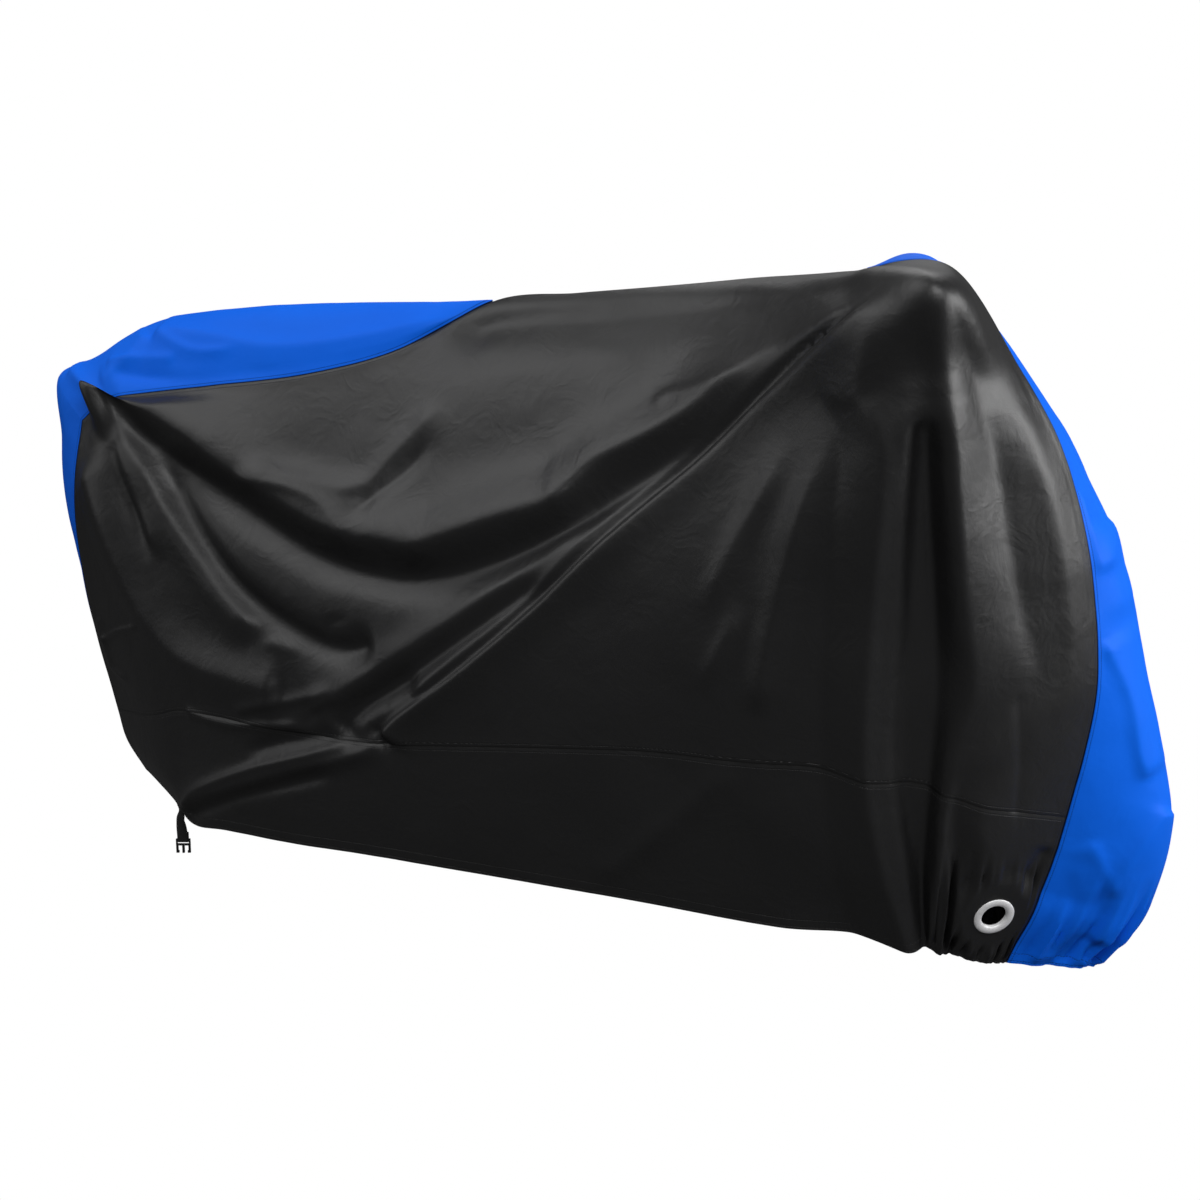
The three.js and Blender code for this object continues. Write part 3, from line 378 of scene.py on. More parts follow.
# The swag's crest ends in a pointed tip over the rear corner of the seam: its line and width in
# millimetres, and its pull back, outward and up in metres.
TIP_FROM, TIP_TO, TIP_WIDTH = (-840, 892), (-960, 905), 20
TIP_PULL = (-0.040, -0.012, 0.062)
TIP_EDGE = 0.1
# Place of the lock hole on the panel, and the flat cloth round it in metres.
RING_U, RING_V = 1.35, 7.4
FLAT_RADIUS, FLAT_BLEND = 0.056, 0.034
RING_PROUD = 0.0006
# The hem elastic gathers the cloth at the nose below GATHER_TOP, and less at the hem itself.
GATHER_TOP, GATHER_HEM, HEM_BLEND, HEM_SMOOTHING = 6.5, 7.86, 0.12, 0.8
SIDE_GATHER, GATHER_END = 0.008, 3.4
# Below the far ring the elastic draws the hem inward and down, in metres.
TUCK_LEVEL, TUCK_END, FAR_TUCK = 7.5, 3.8, (0, 0.025, 0.040)


def to_frame(p, side):
    """Millimetres above the ground to metres in the row frame, on the near or the far side."""
    return np.stack([p[..., 0], side * p[..., 1], p[..., 2] - TOP_HEIGHT], -1) / 1000


def pulled_tip(q, p, u, v):
    """The near side q, with the end of the swag's crest drawn out to its tip."""
    way = np.array(TIP_TO, float) - TIP_FROM
    off = np.stack([p[..., 0] - TIP_FROM[0], p[..., 2] - TIP_FROM[1]], -1)
    along = off @ way / (way @ way)
    away = np.linalg.norm(off - np.clip(along, 0, 1)[..., None] * way, axis=-1)
    inside = smooth(v / TIP_EDGE) * smooth((LAST_U - u) / TIP_EDGE)
    w = (smooth(along) * np.exp(-(away / TIP_WIDTH) ** 2) * inside)[..., None]
    return q + w * np.array(TIP_PULL)


def ring_seat(side):
    """Middle of a lock hole on the cloth's outer face, and the way it faces."""
    low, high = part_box(f"eyelet_{SIDE_NAMES[side]}")
    n = side_facing(np.array([RING_U]), np.array([RING_V]), side)[0] * (1, side, 1)
    return np.array((low + high) / 2) + RING_PROUD * n, n


def gathers(v, growth, wave, ripple):
    """Gathers at the nose hem, about -1 to 1 high, that grow over this part of a level."""
    share = smooth((v - GATHER_TOP) / growth)
    share = share * (1 - HEM_SMOOTHING * smooth((v - GATHER_HEM) / HEM_BLEND))
    return share * (2 * np.abs(np.sin(wave)) - 1.2 + 0.35 * np.sin(ripple))


def side_panel(u, v, side):
    """Points of a side panel with its folds, gathered at the nose hem and flat round the ring,
    the way it faces there and the height of its folds."""
    u, v = np.broadcast_arrays(np.asarray(u, float), np.asarray(v, float))
    p, n = side_shape(u, v, side), side_facing(u, v, side)
    folds = NEAR_FOLDS if side == NEAR else FAR_FOLDS
    height = sum(fold_height(p[..., 0], p[..., 2], *row) for row in folds.values())
    if side == NEAR:
        height = height + pleat_height(p[..., 0], p[..., 2])
    inside = smooth(v / TOP_BLEND) * smooth(u / NOSE_BLEND) * smooth((LAST_U - u) / TAIL_BLEND)
    height = height * (SEAM_SHARE + (1 - SEAM_SHARE) * inside)
    base = to_frame(p, side)
    height = height + uneven(base, (1.6, 0.13, 2 + side), (0.7, 0.05, 5 + side))
    height = height * smooth(p[..., 1] / RIDGE_FADE)
    from_apex = np.hypot(p[..., 0] - APEX[0], p[..., 2] - APEX[1])
    away = smooth((from_apex - APEX_RADIUS) / APEX_BLEND)
    height = height * (APEX_SHARE + (1 - APEX_SHARE) * away)
    n = n * (1, side, 1)
    q = base + n * height[..., None] / 1000
    top = (v <= 0) & (u <= RIDGE_END)
    n[top] *= (1, 0, 1)
    n = unit(n)
    if side == NEAR:
        q = pulled_tip(q, p, u, v)
    gathered = gathers(v, 0.9, u * 7.5 + 1.2 * np.sin(u * 2.7), u * 29 + 2 * v)
    gathered = gathered * smooth((GATHER_END - u) / 0.8) * smooth(u / 0.3)
    q = q + n * (SIDE_GATHER * gathered)[..., None]
    seat, facing = ring_seat(side)
    from_seat = np.linalg.norm(q - seat, axis=-1)
    flat = 1 - smooth((from_seat - FLAT_RADIUS) / FLAT_BLEND)
    q = q - (flat * ((q - seat) @ facing))[..., None] * facing
    n = unit(n * (1 - flat[..., None]) + facing * flat[..., None])
    if side == FAR:
        tuck = smooth((v - TUCK_LEVEL) / (LAST_V - TUCK_LEVEL))
        tuck = tuck * smooth(u / 0.9) * smooth((TUCK_END - u) / 1.4)
        q = q - tuck[..., None] * np.array(FAR_TUCK)
    return q, n, height


# Places of the mesh lines beside a seam, and of the first of the even ones.
SEAM_LINES, FIRST_LINE = np.array([0.012, 0.03, 0.055, 0.09]), 0.14


def cut_lines(last, count):
    """Places of the mesh lines across a panel, closer together along its two seams."""
    inner = np.linspace(FIRST_LINE, last - FIRST_LINE, count)
    return np.concatenate([[0], SEAM_LINES, inner, last - SEAM_LINES[::-1], [last]])


CLOTH_THICK = 0.0016


def measured(points):
    """Length along the cloth from its first row, and from its first column, at every point."""
    down = np.linalg.norm(np.diff(points, axis=1), axis=2)
    along = np.linalg.norm(np.diff(points, axis=0), axis=2)
    v = np.concatenate([np.zeros((points.shape[0], 1)), np.cumsum(down, 1)], 1)
    u = np.concatenate([np.zeros((1, points.shape[1])), np.cumsum(along, 0)], 0)
    return u, v


def cloth_sheet(name, points, facing, seam, hem, crest, thick=CLOTH_THICK):
    """A closed thin sheet. seam and hem are the distances to the nearest sewn edge and to the
    hem, and crest is the height of the folds."""
    rows, cols = points.shape[:2]
    inner = points - facing * thick
    verts = np.concatenate([points.reshape(-1, 3), inner.reshape(-1, 3)])
    at = np.arange(rows * cols).reshape(rows, cols)
    a, b, c, d = at[:-1, :-1], at[1:, :-1], at[1:, 1:], at[:-1, 1:]
    outside = np.stack([a, b, c, d], -1).reshape(-1, 4)
    inside = np.stack([a, d, c, b], -1).reshape(-1, 4) + rows * cols
    rim = np.concatenate([at[:-1, -1], at[-1, :0:-1], at[:0:-1, 0], at[0, :-1]])
    after = np.roll(rim, -1)
    edge = np.stack([after, rim, rim + rows * cols, after + rows * cols], -1)
    faces = np.concatenate([outside, inside, edge])
    mesh = bpy.data.meshes.new(name)
    mesh.from_pydata(verts, [], faces.tolist())
    obj = bpy.data.objects.new(name, mesh)
    bpy.context.scene.collection.objects.link(obj)
    u, v = measured(points)
    spots = np.stack([u, v], -1).reshape(-1, 2)
    layer = mesh.uv_layers.new(name="cut")
    corner = np.zeros(len(mesh.loops), np.int32)
    mesh.loops.foreach_get("vertex_index", corner)
    layer.data.foreach_set("uv", spots[corner % len(spots)].astype(np.float32).ravel())
    for label, values in (("seam", seam), ("hem", hem), ("crest", crest)):
        attribute = mesh.attributes.new(label, "FLOAT", "POINT")
        attribute.data.foreach_set("value", np.tile(values.ravel(), 2).astype(np.float32))
    bpy.context.view_layer.objects.active = obj
    obj.select_set(True)
    bpy.ops.object.mode_set(mode="EDIT")
    bpy.ops.mesh.select_all(action="SELECT")
    bpy.ops.mesh.normals_make_consistent(inside=False)
    bpy.ops.object.mode_set(mode="OBJECT")
    bpy.ops.object.shade_smooth_by_angle(angle=math.radians(60))
    obj.select_set(False)
    return obj


# The groove along a seam and the rise beside it, in metres.
GROOVE_DEPTH, GROOVE_WIDTH = 0.0009, 0.0022
RISE_HEIGHT, RISE_PLACE, RISE_WIDTH = 0.0003, 0.008, 0.005


def sunk_seam(p, n, seam):
    """The cloth dips into its seam, and stands a little proud over the folded allowance."""
    groove = GROOVE_DEPTH * np.exp(-seam / GROOVE_WIDTH)
    rise = RISE_HEIGHT * np.exp(-((seam - RISE_PLACE) / RISE_WIDTH) ** 2)
    return p + n * (rise - groove)[..., None]


# Number of even mesh lines along a side, down its upper panel and down its lower one.
COUNTS = {NEAR: (330, 136, 60), FAR: (190, 80, 36)}


def edge_distances(p, *edges):
    """Distance of every point to the nearest of the sheet's named edges, along the cloth."""
    u, v = measured(p)
    found = {"first": u, "last": u[-1:] - u, "top": v, "low": v[:, -1:] - v}
    return np.min([found[edge] for edge in edges], axis=0)


# Cut sizes in metres, (length, depth), and the area of each cut in square metres.
# Folds of this height, in millimetres, have the most dust on their crests.
FULL_CREST = 30
# Distance to a seam or hem, where the piece has none.
NO_EDGE = 1.0
side_panels = {}
for side in (NEAR, FAR):
    along, upper, lower = COUNTS[side]
    u_lines = cut_lines(LAST_U, along)[:, None]
    upper = cut_lines(SEAM_LEVEL, upper)[None, :]
    lower = SEAM_LEVEL + cut_lines(LAST_V - SEAM_LEVEL, lower)[None, :]
    for level, v_lines in (("upper", upper), ("lower", lower)):
        p, n, height = side_panel(u_lines, v_lines, side)
        if level == "upper":
            seam = edge_distances(p, "first", "last", "top", "low")
            hem = np.full(seam.shape, NO_EDGE)
        else:
            seam = edge_distances(p, "first", "last", "top")
            hem = edge_distances(p, "low")
        p = sunk_seam(p, n, seam)
        name = f"side_{level}_{SIDE_NAMES[side]}"
        if side == FAR:
            p, n, seam, hem, height = p[::-1], n[::-1], seam[::-1], hem[::-1], height[::-1]
        panel = cloth_sheet(f"{name}_cloth", p, n, seam, hem, height / FULL_CREST)
        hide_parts(name)
        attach(panel, "root")
        side_panels[name] = panel


# Blue panels
# One piece of blue coated polyester runs over the nose and one over the tail and down the rear,
# each from a point on the ridge between the two sides. Their folds have the columns above.
NOSE_FOLDS = dict(
    pinch=([845, 715, 850, 755, 838, 800], 20, 20, 8, 0.6, 20, 30),
    facet=([795, 870, 815, 820, 855, 730, 885, 635], 30, 24, 6, 0.7, 40, 40),
    long_crease=([858, 610, 895, 520, 915, 425, 932, 380], 45, 12, 8, 0.8, 10, 20),
    middle_crease=([850, 290, 878, 225, 890, 180], 16, 34, 5, 0.8, 20, 30),
    low_facet=([960, 330, 893, 215, 862, 95], 50, 20, 9, 0.8, 10, 20),
    hem_crease=([792, 55, 818, 145, 835, 235], 9, 20, -7, 0.6, 0, 60),
    second_hem_crease=([850, 70, 872, 165, 880, 250], 9, 16, -6, 0.6, 0, 60),
)
TAIL_FOLDS = dict(
    upper_edge=([-885, 1064, -745, 1050, -625, 1035, -500, 1045, -340, 1075, -255, 1100],
     24, 40, 8, 0.8, 20, 80),
    rear_crease=([-885, 1060, -785, 1025, -680, 1030], 10, 22, 6, 0.7, 10, 60),
    rear_facet=([-905, 1055, -935, 1000, -990, 960], 26, 34, 6, 0.7, 10, 20),
    short_crease=([-985, 1000, -905, 1010, -815, 1010], 10, 14, 5, 0.7, 20, 20),
    seam_hollow=([-965, 985, -865, 975, -750, 965, -555, 990], 18, 16, -7, 0.3, 30, 80),
    corner_edge=([-1090, 985, -1025, 955, -980, 925], 18, 18, 8, 0.6, 10, 10),
)
# Middle line of each panel, [forward, height above the ground], from the ridge down to the hem.
NOSE_MIDDLE = [[445, 1177], [548, 1194], [670, 1060], [758, 925], [866, 735],
               [922, 520], [968, 310], [942, 155], [868, 46]]
TAIL_MIDDLE = [[-210, 1120], [-365, 1115], [-535, 1112], [-720, 1101], [-905, 1074],
               [-1045, 1005], [-1132, 968], [-1128, 868], [-1130, 775], [-1105, 665],
               [-1062, 545], [-1030, 445], [-1008, 360], [-990, 290], [-962, 235]]
# Number of mesh lines across a panel, and their places beside a seam as shares of its width.
ACROSS, SEAM_SHARES, FIRST_SHARE = 70, np.array([0, 0.004, 0.01, 0.02]), 0.035
# A fold grows to its full height over this share of the half width.
EDGE_BLEND = 0.12
NOSE_GATHER = 9


def strip(rows, near, far, middle, facing):
    """Points across a blue panel, the way it faces, and t: 1 at the near edge, -1 at the far."""
    line = carried_on(middle)
    i = np.clip(np.floor(rows).astype(int), 0, len(middle) - 2)
    mid = spline(*[line[i + k] for k in range(4)], (rows - i)[:, None])
    inner = np.linspace(FIRST_SHARE, 1 - FIRST_SHARE, ACROSS)
    share = np.concatenate([SEAM_SHARES, inner, 1 - SEAM_SHARES[::-1]])
    t = 1 - 2 * share[None, :]
    w = np.abs(t)
    f = 1 - w * w
    edge = np.where(t[..., None] > 0, near[:, None], far[:, None])
    x = edge[..., 0] + (mid[:, 0, None] / 1000 - edge[..., 0]) * f
    z = edge[..., 2] + ((mid[:, 1, None] - TOP_HEIGHT) / 1000 - edge[..., 2]) * f
    p = np.stack([x, edge[..., 1] * w, z], -1)
    n = unit(np.cross(np.gradient(p, axis=0), np.gradient(p, axis=1)) * facing)
    return p, n, t


def blue_panel(name, p, n, t, height, seed, folds, turned):
    """A blue panel with folds on its near half. A turned one has its rows the other way round."""
    x, z = p[..., 0] * 1000, p[..., 2] * 1000 + TOP_HEIGHT
    height = height + uneven(p, (1.5, 0.12, seed), (0.7, 0.045, seed + 1))
    height = height + sum(fold_height(x, z, *row) for row in folds.values()) * smooth(t / EDGE_BLEND)
    p = p + n * (height * smooth((1 - np.abs(t)) / EDGE_BLEND))[..., None] / 1000
    seam, hem = edge_distances(p, "top", "low"), edge_distances(p, "last")
    grids = [sunk_seam(p, n, seam), n, seam, hem, height / FULL_CREST]
    if turned:
        grids = [grid[::-1] for grid in grids]
    return cloth_sheet(name, *grids)


along, upper, lower = COUNTS[NEAR]
v_all = np.concatenate([cut_lines(SEAM_LEVEL, upper)[1:-1],
                        SEAM_LEVEL + cut_lines(LAST_V - SEAM_LEVEL, lower)])
nose_near, nose_far = [side_panel(0.0, v_all, side)[0] for side in (NEAR, FAR)]
p, n, t = strip(v_all, nose_near, nose_far, NOSE_MIDDLE, 1)
gathered = gathers(v_all[:, None], 1.1, t * 15 + 1.5 * np.sin(t * 5), t * 61)
height = NOSE_GATHER * gathered * smooth((1 - np.abs(t)) / 0.15)
nose_panel = blue_panel("nose_cloth", p, n, t, height, 9, NOSE_FOLDS, turned=False)

u_top = cut_lines(LAST_U, along)
u_top = u_top[u_top > RIDGE_END + 0.02]
v_down = v_all[v_all > 0]
tail_near, tail_far = [
    np.concatenate([side_panel(u_top, 0.0, side)[0], side_panel(float(LAST_U), v_down, side)[0]])
    for side in (NEAR, FAR)
]
rows = np.concatenate([u_top - RIDGE_END, LAST_U - RIDGE_END + v_down])
p, n, t = strip(rows, tail_near, tail_far, TAIL_MIDDLE, -1)
tail_panel = blue_panel("tail_cloth", p, n, t, 0, 11, TAIL_FOLDS, turned=True)
for panel, name, cut, area in (
    (nose_panel, "nose_panel", (1.75, 0.5), 0.46),
    (tail_panel, "tail_panel", (2.0, 0.4), 0.41),
):
    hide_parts(name)
    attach(panel, "root")


# Cloth finish
# Woven polyester with a thin coat: a fine weave, soft crinkles, a satin gloss, a little dust on
# the ridges of the folds, a dark line of thread along the seams that is partly painted shade of the seam's
# groove, and two rows of stitches along the hem.
def material(name):
    made = bpy.data.materials.new(name)
    made.use_nodes = True
    return made, made.node_tree, made.node_tree.nodes["Principled BSDF"]


def maths(tree, operation, *values):
    """A Math node. A value is a number or the socket that feeds it."""
    node = tree.nodes.new("ShaderNodeMath")
    node.operation = operation
    for socket, value in zip(node.inputs, values):
        if isinstance(value, (int, float)):
            socket.default_value = value
        else:
            tree.links.new(value, socket)
    return node.outputs[0]


def times(tree, first, second):
    return maths(tree, "MULTIPLY", first, second)


def between(tree, value, low, high):
    """0 below low, 1 above high and smooth in between."""
    node = tree.nodes.new("ShaderNodeMapRange")
    node.interpolation_type = "SMOOTHSTEP"
    node.inputs["From Min"].default_value = low
    node.inputs["From Max"].default_value = high
    tree.links.new(value, node.inputs["Value"])
    return node.outputs["Result"]


def noise_node(tree, vector, scale, detail=2, roughness=0.5, distortion=0):
    node = tree.nodes.new("ShaderNodeTexNoise")
    node.inputs["Scale"].default_value = scale
    node.inputs["Detail"].default_value = detail
    node.inputs["Roughness"].default_value = roughness
    node.inputs["Distortion"].default_value = distortion
    tree.links.new(vector, node.inputs["Vector"])
    return node.outputs["Fac"]


def bump(tree, shader, height, distance, strength=1):
    node = tree.nodes.new("ShaderNodeBump")
    node.inputs["Distance"].default_value = distance
    node.inputs["Strength"].default_value = strength
    tree.links.new(height, node.inputs["Height"])
    tree.links.new(node.outputs["Normal"], shader.inputs["Normal"])


def on_the_cut(tree):
    """Place on the flat cut piece in metres: as a vector, along it and down it."""
    uv = tree.nodes.new("ShaderNodeUVMap")
    uv.uv_map = "cut"
    split = tree.nodes.new("ShaderNodeSeparateXYZ")
    tree.links.new(uv.outputs["UV"], split.inputs[0])
    return uv.outputs["UV"], split.outputs["X"], split.outputs["Y"]


def colour_mix(tree, factor, first, second):
    node = tree.nodes.new("ShaderNodeMix")
    node.data_type = "RGBA"
    tree.links.new(factor, node.inputs["Factor"])
    for socket, value in ((node.inputs[6], first), (node.inputs[7], second)):
        if isinstance(value, tuple):
            socket.default_value = (*value, 1)
        else:
            tree.links.new(value, socket)
    return node.outputs[2]


# Pitch and height of the weave, and the height of the crinkles and of the fine grain.
WEAVE_PITCH, WEAVE_HEIGHT, CRINKLE_HEIGHT, GRAIN_HEIGHT = 0.0011, 0.00002, 0.0012, 0.00025
# Rows of stitches at these distances from an edge, a row's half width and soft border, and the
# pitch of the stitches and the part of it that shows.
STITCH_ROWS = (("seam", 0.0065), ("hem", 0.005), ("hem", 0.019))
ROW_WIDTH, ROW_BORDER = 0.0003, 0.0011
STITCH_PITCH, STITCH_PART = 0.0042, 0.66
weave = bpy.data.node_groups.new("coated weave", "ShaderNodeTree")
for label, way, kind in (
    ("Cut", "INPUT", "NodeSocketVector"),
    ("Place", "INPUT", "NodeSocketVector"),
    ("Crinkle", "INPUT", "NodeSocketFloat"),
    ("Height", "OUTPUT", "NodeSocketFloat"),
    ("Tone", "OUTPUT", "NodeSocketFloat"),
):
    weave.interface.new_socket(label, in_out=way, socket_type=kind)
given, made = weave.nodes.new("NodeGroupInput"), weave.nodes.new("NodeGroupOutput")
split = weave.nodes.new("ShaderNodeSeparateXYZ")
weave.links.new(given.outputs["Cut"], split.inputs[0])
warp = maths(weave, "SINE", times(weave, split.outputs["X"], math.tau / WEAVE_PITCH))
weft = maths(weave, "SINE", times(weave, split.outputs["Y"], math.tau / WEAVE_PITCH))
threads = times(weave, times(weave, warp, weft), WEAVE_HEIGHT)
broad = noise_node(weave, given.outputs["Place"], 16, detail=3, distortion=0.8)
fine = noise_node(weave, given.outputs["Place"], 62, detail=4, roughness=0.6, distortion=0.4)
sharp = maths(weave, "ABSOLUTE", maths(weave, "SUBTRACT", broad, 0.5))
crinkles = maths(weave, "ADD", times(weave, sharp, -CRINKLE_HEIGHT),
                 times(weave, fine, GRAIN_HEIGHT))
raised = maths(weave, "ADD", times(weave, crinkles, given.outputs["Crinkle"]), threads)
weave.links.new(raised, made.inputs["Height"])
weave.links.new(noise_node(weave, given.outputs["Place"], 4, detail=3), made.inputs["Tone"])


def cloth_finish(name, low_tone, high_tone, thread, dust, roughness, gloss, crinkle):
    """A coated cloth; thread is the colour of its stitches and of the dark line along its seams, which is
    partly painted shade of the seam's groove, and dust that of its crests.
    """
    made, tree, shader = material(name)
    nodes, links = tree.nodes, tree.links
    cut, along, down = on_the_cut(tree)
    place = nodes.new("ShaderNodeTexCoord").outputs["Object"]
    cloth = nodes.new("ShaderNodeGroup")
    cloth.node_tree = weave
    links.new(cut, cloth.inputs["Cut"])
    links.new(place, cloth.inputs["Place"])
    cloth.inputs["Crinkle"].default_value = crinkle
    measures = {}
    for label in ("seam", "hem", "crest"):
        node = nodes.new("ShaderNodeAttribute")
        node.attribute_name = label
        measures[label] = node.outputs["Fac"]
    colour = colour_mix(tree, cloth.outputs["Tone"], low_tone, high_tone)
    speckle = between(tree, noise_node(tree, place, 320, detail=2), 0.55, 0.75)
    dusty = times(tree, between(tree, measures["crest"], 0.15, 1.0), speckle)
    colour = colour_mix(tree, times(tree, dusty, 0.35), colour, dust)
    # Within about 3 mm of a seam the colour turns to the thread's: a dark line that is both the seam's
    # thread and painted shade of its groove.
    seam_thread_and_shade = between(tree, measures["seam"], 0.0008, 0.0028)
    colour = colour_mix(tree, seam_thread_and_shade, thread, colour)
    run = maths(tree, "ADD", along, down)
    dash = maths(tree, "FRACT", maths(tree, "DIVIDE", run, STITCH_PITCH))
    dashed = maths(tree, "LESS_THAN", dash, STITCH_PART)
    rows = None
    for label, distance in STITCH_ROWS:
        away = maths(tree, "ABSOLUTE", maths(tree, "SUBTRACT", measures[label], distance))
        line = maths(tree, "SUBTRACT", 1.0, between(tree, away, ROW_WIDTH, ROW_BORDER))
        rows = line if rows is None else maths(tree, "MAXIMUM", rows, line)
    stitches = times(tree, rows, dashed)
    colour = colour_mix(tree, times(tree, stitches, 0.6), colour, thread)
    links.new(colour, shader.inputs["Base Color"])
    raised = times(tree, stitches, 0.0004)
    height = maths(tree, "ADD", cloth.outputs["Height"], raised)
    height = maths(tree, "SUBTRACT", height, times(tree, rows, 0.0005))
    bump(tree, shader, height, 1)
    patchy = times(tree, cloth.outputs["Tone"], 0.1)
    rough = maths(tree, "ADD", roughness - 0.05, patchy)
    rough = maths(tree, "ADD", rough, times(tree, dusty, 0.15))
    links.new(rough, shader.inputs["Roughness"])
    shader.inputs["Specular IOR Level"].default_value = gloss
    return made


black_cloth = cloth_finish(
    "black_cloth", (0.008, 0.008, 0.0085), (0.012, 0.012, 0.0125),
    thread=(0.002, 0.002, 0.002), dust=(0.03, 0.03, 0.03), roughness=0.42, gloss=0.6, crinkle=1.5)
blue_cloth = cloth_finish(
    "blue_cloth", (0.0025, 0.13, 0.84), (0.0035, 0.165, 0.97),
    thread=(0.0008, 0.004, 0.02), dust=(0.02, 0.2, 0.9), roughness=0.55, gloss=0.12, crinkle=0.8)
for panel in side_panels.values():
    panel.data.materials.append(black_cloth)
for panel in (nose_panel, tail_panel):
    panel.data.materials.append(blue_cloth)


# Lock hole rings
# A silver coated ring is clamped through each lower side panel: a rounded outer flange with a
# rolled inner lip, a barrel through the cloth and a flat flange behind it.
HOLE_RADIUS = 0.0238
# Outline of the ring's section, (radius, height over the cloth's outer face) in millimetres.
RING_SECTION = [(21, -4.2), (30, -4.2), (30, -2.6), (23.2, -2.4), (23.2, 0.2), (33.4, 0.2),
                (34, 0.5), (34, 1.1), (33.4, 1.9), (32, 2.5), (29.5, 3), (26.5, 3.1),
                (24.2, 2.8), (22.6, 2.2), (21.5, 1.2), (21, 0)]
RING_STEPS = 96

ring_silver, tree, shader = material("silver_ring")
place = tree.nodes.new("ShaderNodeTexCoord").outputs["Object"]
scuffs = noise_node(tree, place, 260, detail=4, roughness=0.7)
worn = between(tree, scuffs, 0.5, 0.72)
colour = colour_mix(tree, worn, (0.96, 0.96, 0.97), (0.80, 0.80, 0.82))
tree.links.new(colour, shader.inputs["Base Color"])
rough = maths(tree, "ADD", 0.28, times(tree, worn, 0.2))
tree.links.new(rough, shader.inputs["Roughness"])
shader.inputs["Metallic"].default_value = 0.1
bump(tree, shader, scuffs, 0.0002, 0.4)


def stand_on(seat, facing):
    """Turns +Z to the way the cloth faces at a seat, and moves the origin there."""
    turn = Vector(facing).to_track_quat("Z", "Y").to_matrix().to_4x4()
    return Matrix.Translation(Vector(seat)) @ turn


def combined(first, other, operation):
    step = first.modifiers.new("step", "BOOLEAN")
    step.object = other
    step.operation = operation
    step.solver = "EXACT"
    bpy.context.view_layer.objects.active = first
    bpy.ops.object.modifier_apply(modifier="step")
    bpy.data.objects.remove(other)


for side, word in SIDE_NAMES.items():
    seat, facing = ring_seat(side)
    bpy.ops.mesh.primitive_cylinder_add(vertices=64, radius=HOLE_RADIUS, depth=0.04)
    punch = bpy.context.object
    punch.data.transform(stand_on(seat, facing))
    combined(side_panels[f"side_lower_{word}"], punch, "DIFFERENCE")

    bpy.ops.mesh.primitive_circle_add(vertices=len(RING_SECTION), radius=0.003)
    ring = bpy.context.object
    ring.name = f"ring_{word}"
    for vertex, (radius, height) in zip(ring.data.vertices, RING_SECTION):
        vertex.co = (radius / 1000, 0, height / 1000)
    bpy.ops.object.mode_set(mode="EDIT")
    bpy.ops.mesh.select_all(action="SELECT")
    bpy.ops.mesh.spin(steps=RING_STEPS, angle=math.tau, center=(0, 0, 0), axis=(0, 0, 1))
    bpy.ops.mesh.select_all(action="SELECT")
    bpy.ops.mesh.remove_doubles(threshold=0.00001)
    bpy.ops.mesh.normals_make_consistent(inside=False)
    bpy.ops.object.mode_set(mode="OBJECT")
    ring.data.transform(stand_on(seat, facing))
    bpy.ops.object.shade_smooth_by_angle(angle=math.radians(40))
    ring.data.materials.append(ring_silver)
    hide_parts(f"eyelet_{word}")
    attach(ring, "root")
    ring.select_set(False)


# Belly strap
# Black woven webbing is sewn to each side of the rear hem, turns a little as it hangs and loops
# round the bar of a moulded buckle half: the prong half on the near side, the socket on the far.
# Section that the strap hangs from, and the webbing's width and thickness in metres.
STRAP_U, STRAP_WIDTH, STRAP_THICK = 14, 0.02, 0.0016
STRAP_TURN = math.radians(20)
# Number of steps from the hem to the bar, and of mesh lines across the webbing.
HANG_STEPS, STRAP_LINES = 5, 13
# Path round the bar, [out, up] from the bar in millimetres.
LOOP = [[3.9, 10], [3.9, 5], [3.9, -0.5], [3.6, -2.4], [2.4, -3.7], [0, -4.1], [-2.4, -3.7],
        [-3.6, -2.4], [-3.9, -0.5], [-3.9, 5], [-3.7, 14]]
# Sizes of a buckle half in millimetres: its plate, the bar, and the slot below the bar.
BUCKLE_WIDTH, BUCKLE_THICK, BAR, SLOT, SLOT_WIDTH = 27, 5, 3.5, 6, 22
UP = Vector((0, 0, 1))
RIB_PITCH, CORD_PITCH = 0.0014, 0.0022

webbing, tree, shader = material("webbing")
cut, along, across = on_the_cut(tree)
ribs = maths(tree, "SINE", times(tree, across, math.tau / RIB_PITCH))
cords = maths(tree, "SINE", times(tree, along, math.tau / CORD_PITCH))
woven = maths(tree, "ADD", times(tree, ribs, 0.5), times(tree, cords, 0.5))
tone = maths(tree, "ADD", 0.5, times(tree, woven, 0.5))
colour = colour_mix(tree, tone, (0.004, 0.004, 0.004), (0.016, 0.016, 0.017))
tree.links.new(colour, shader.inputs["Base Color"])
shader.inputs["Roughness"].default_value = 0.7
bump(tree, shader, tone, 0.0003)

plastic, tree, shader = material("black_plastic")
grain = noise_node(tree, tree.nodes.new("ShaderNodeTexCoord").outputs["Object"], 900, detail=3)
shader.inputs["Base Color"].default_value = (0.012, 0.012, 0.013, 1)
rough = maths(tree, "ADD", 0.3, times(tree, grain, 0.2))
tree.links.new(rough, shader.inputs["Roughness"])


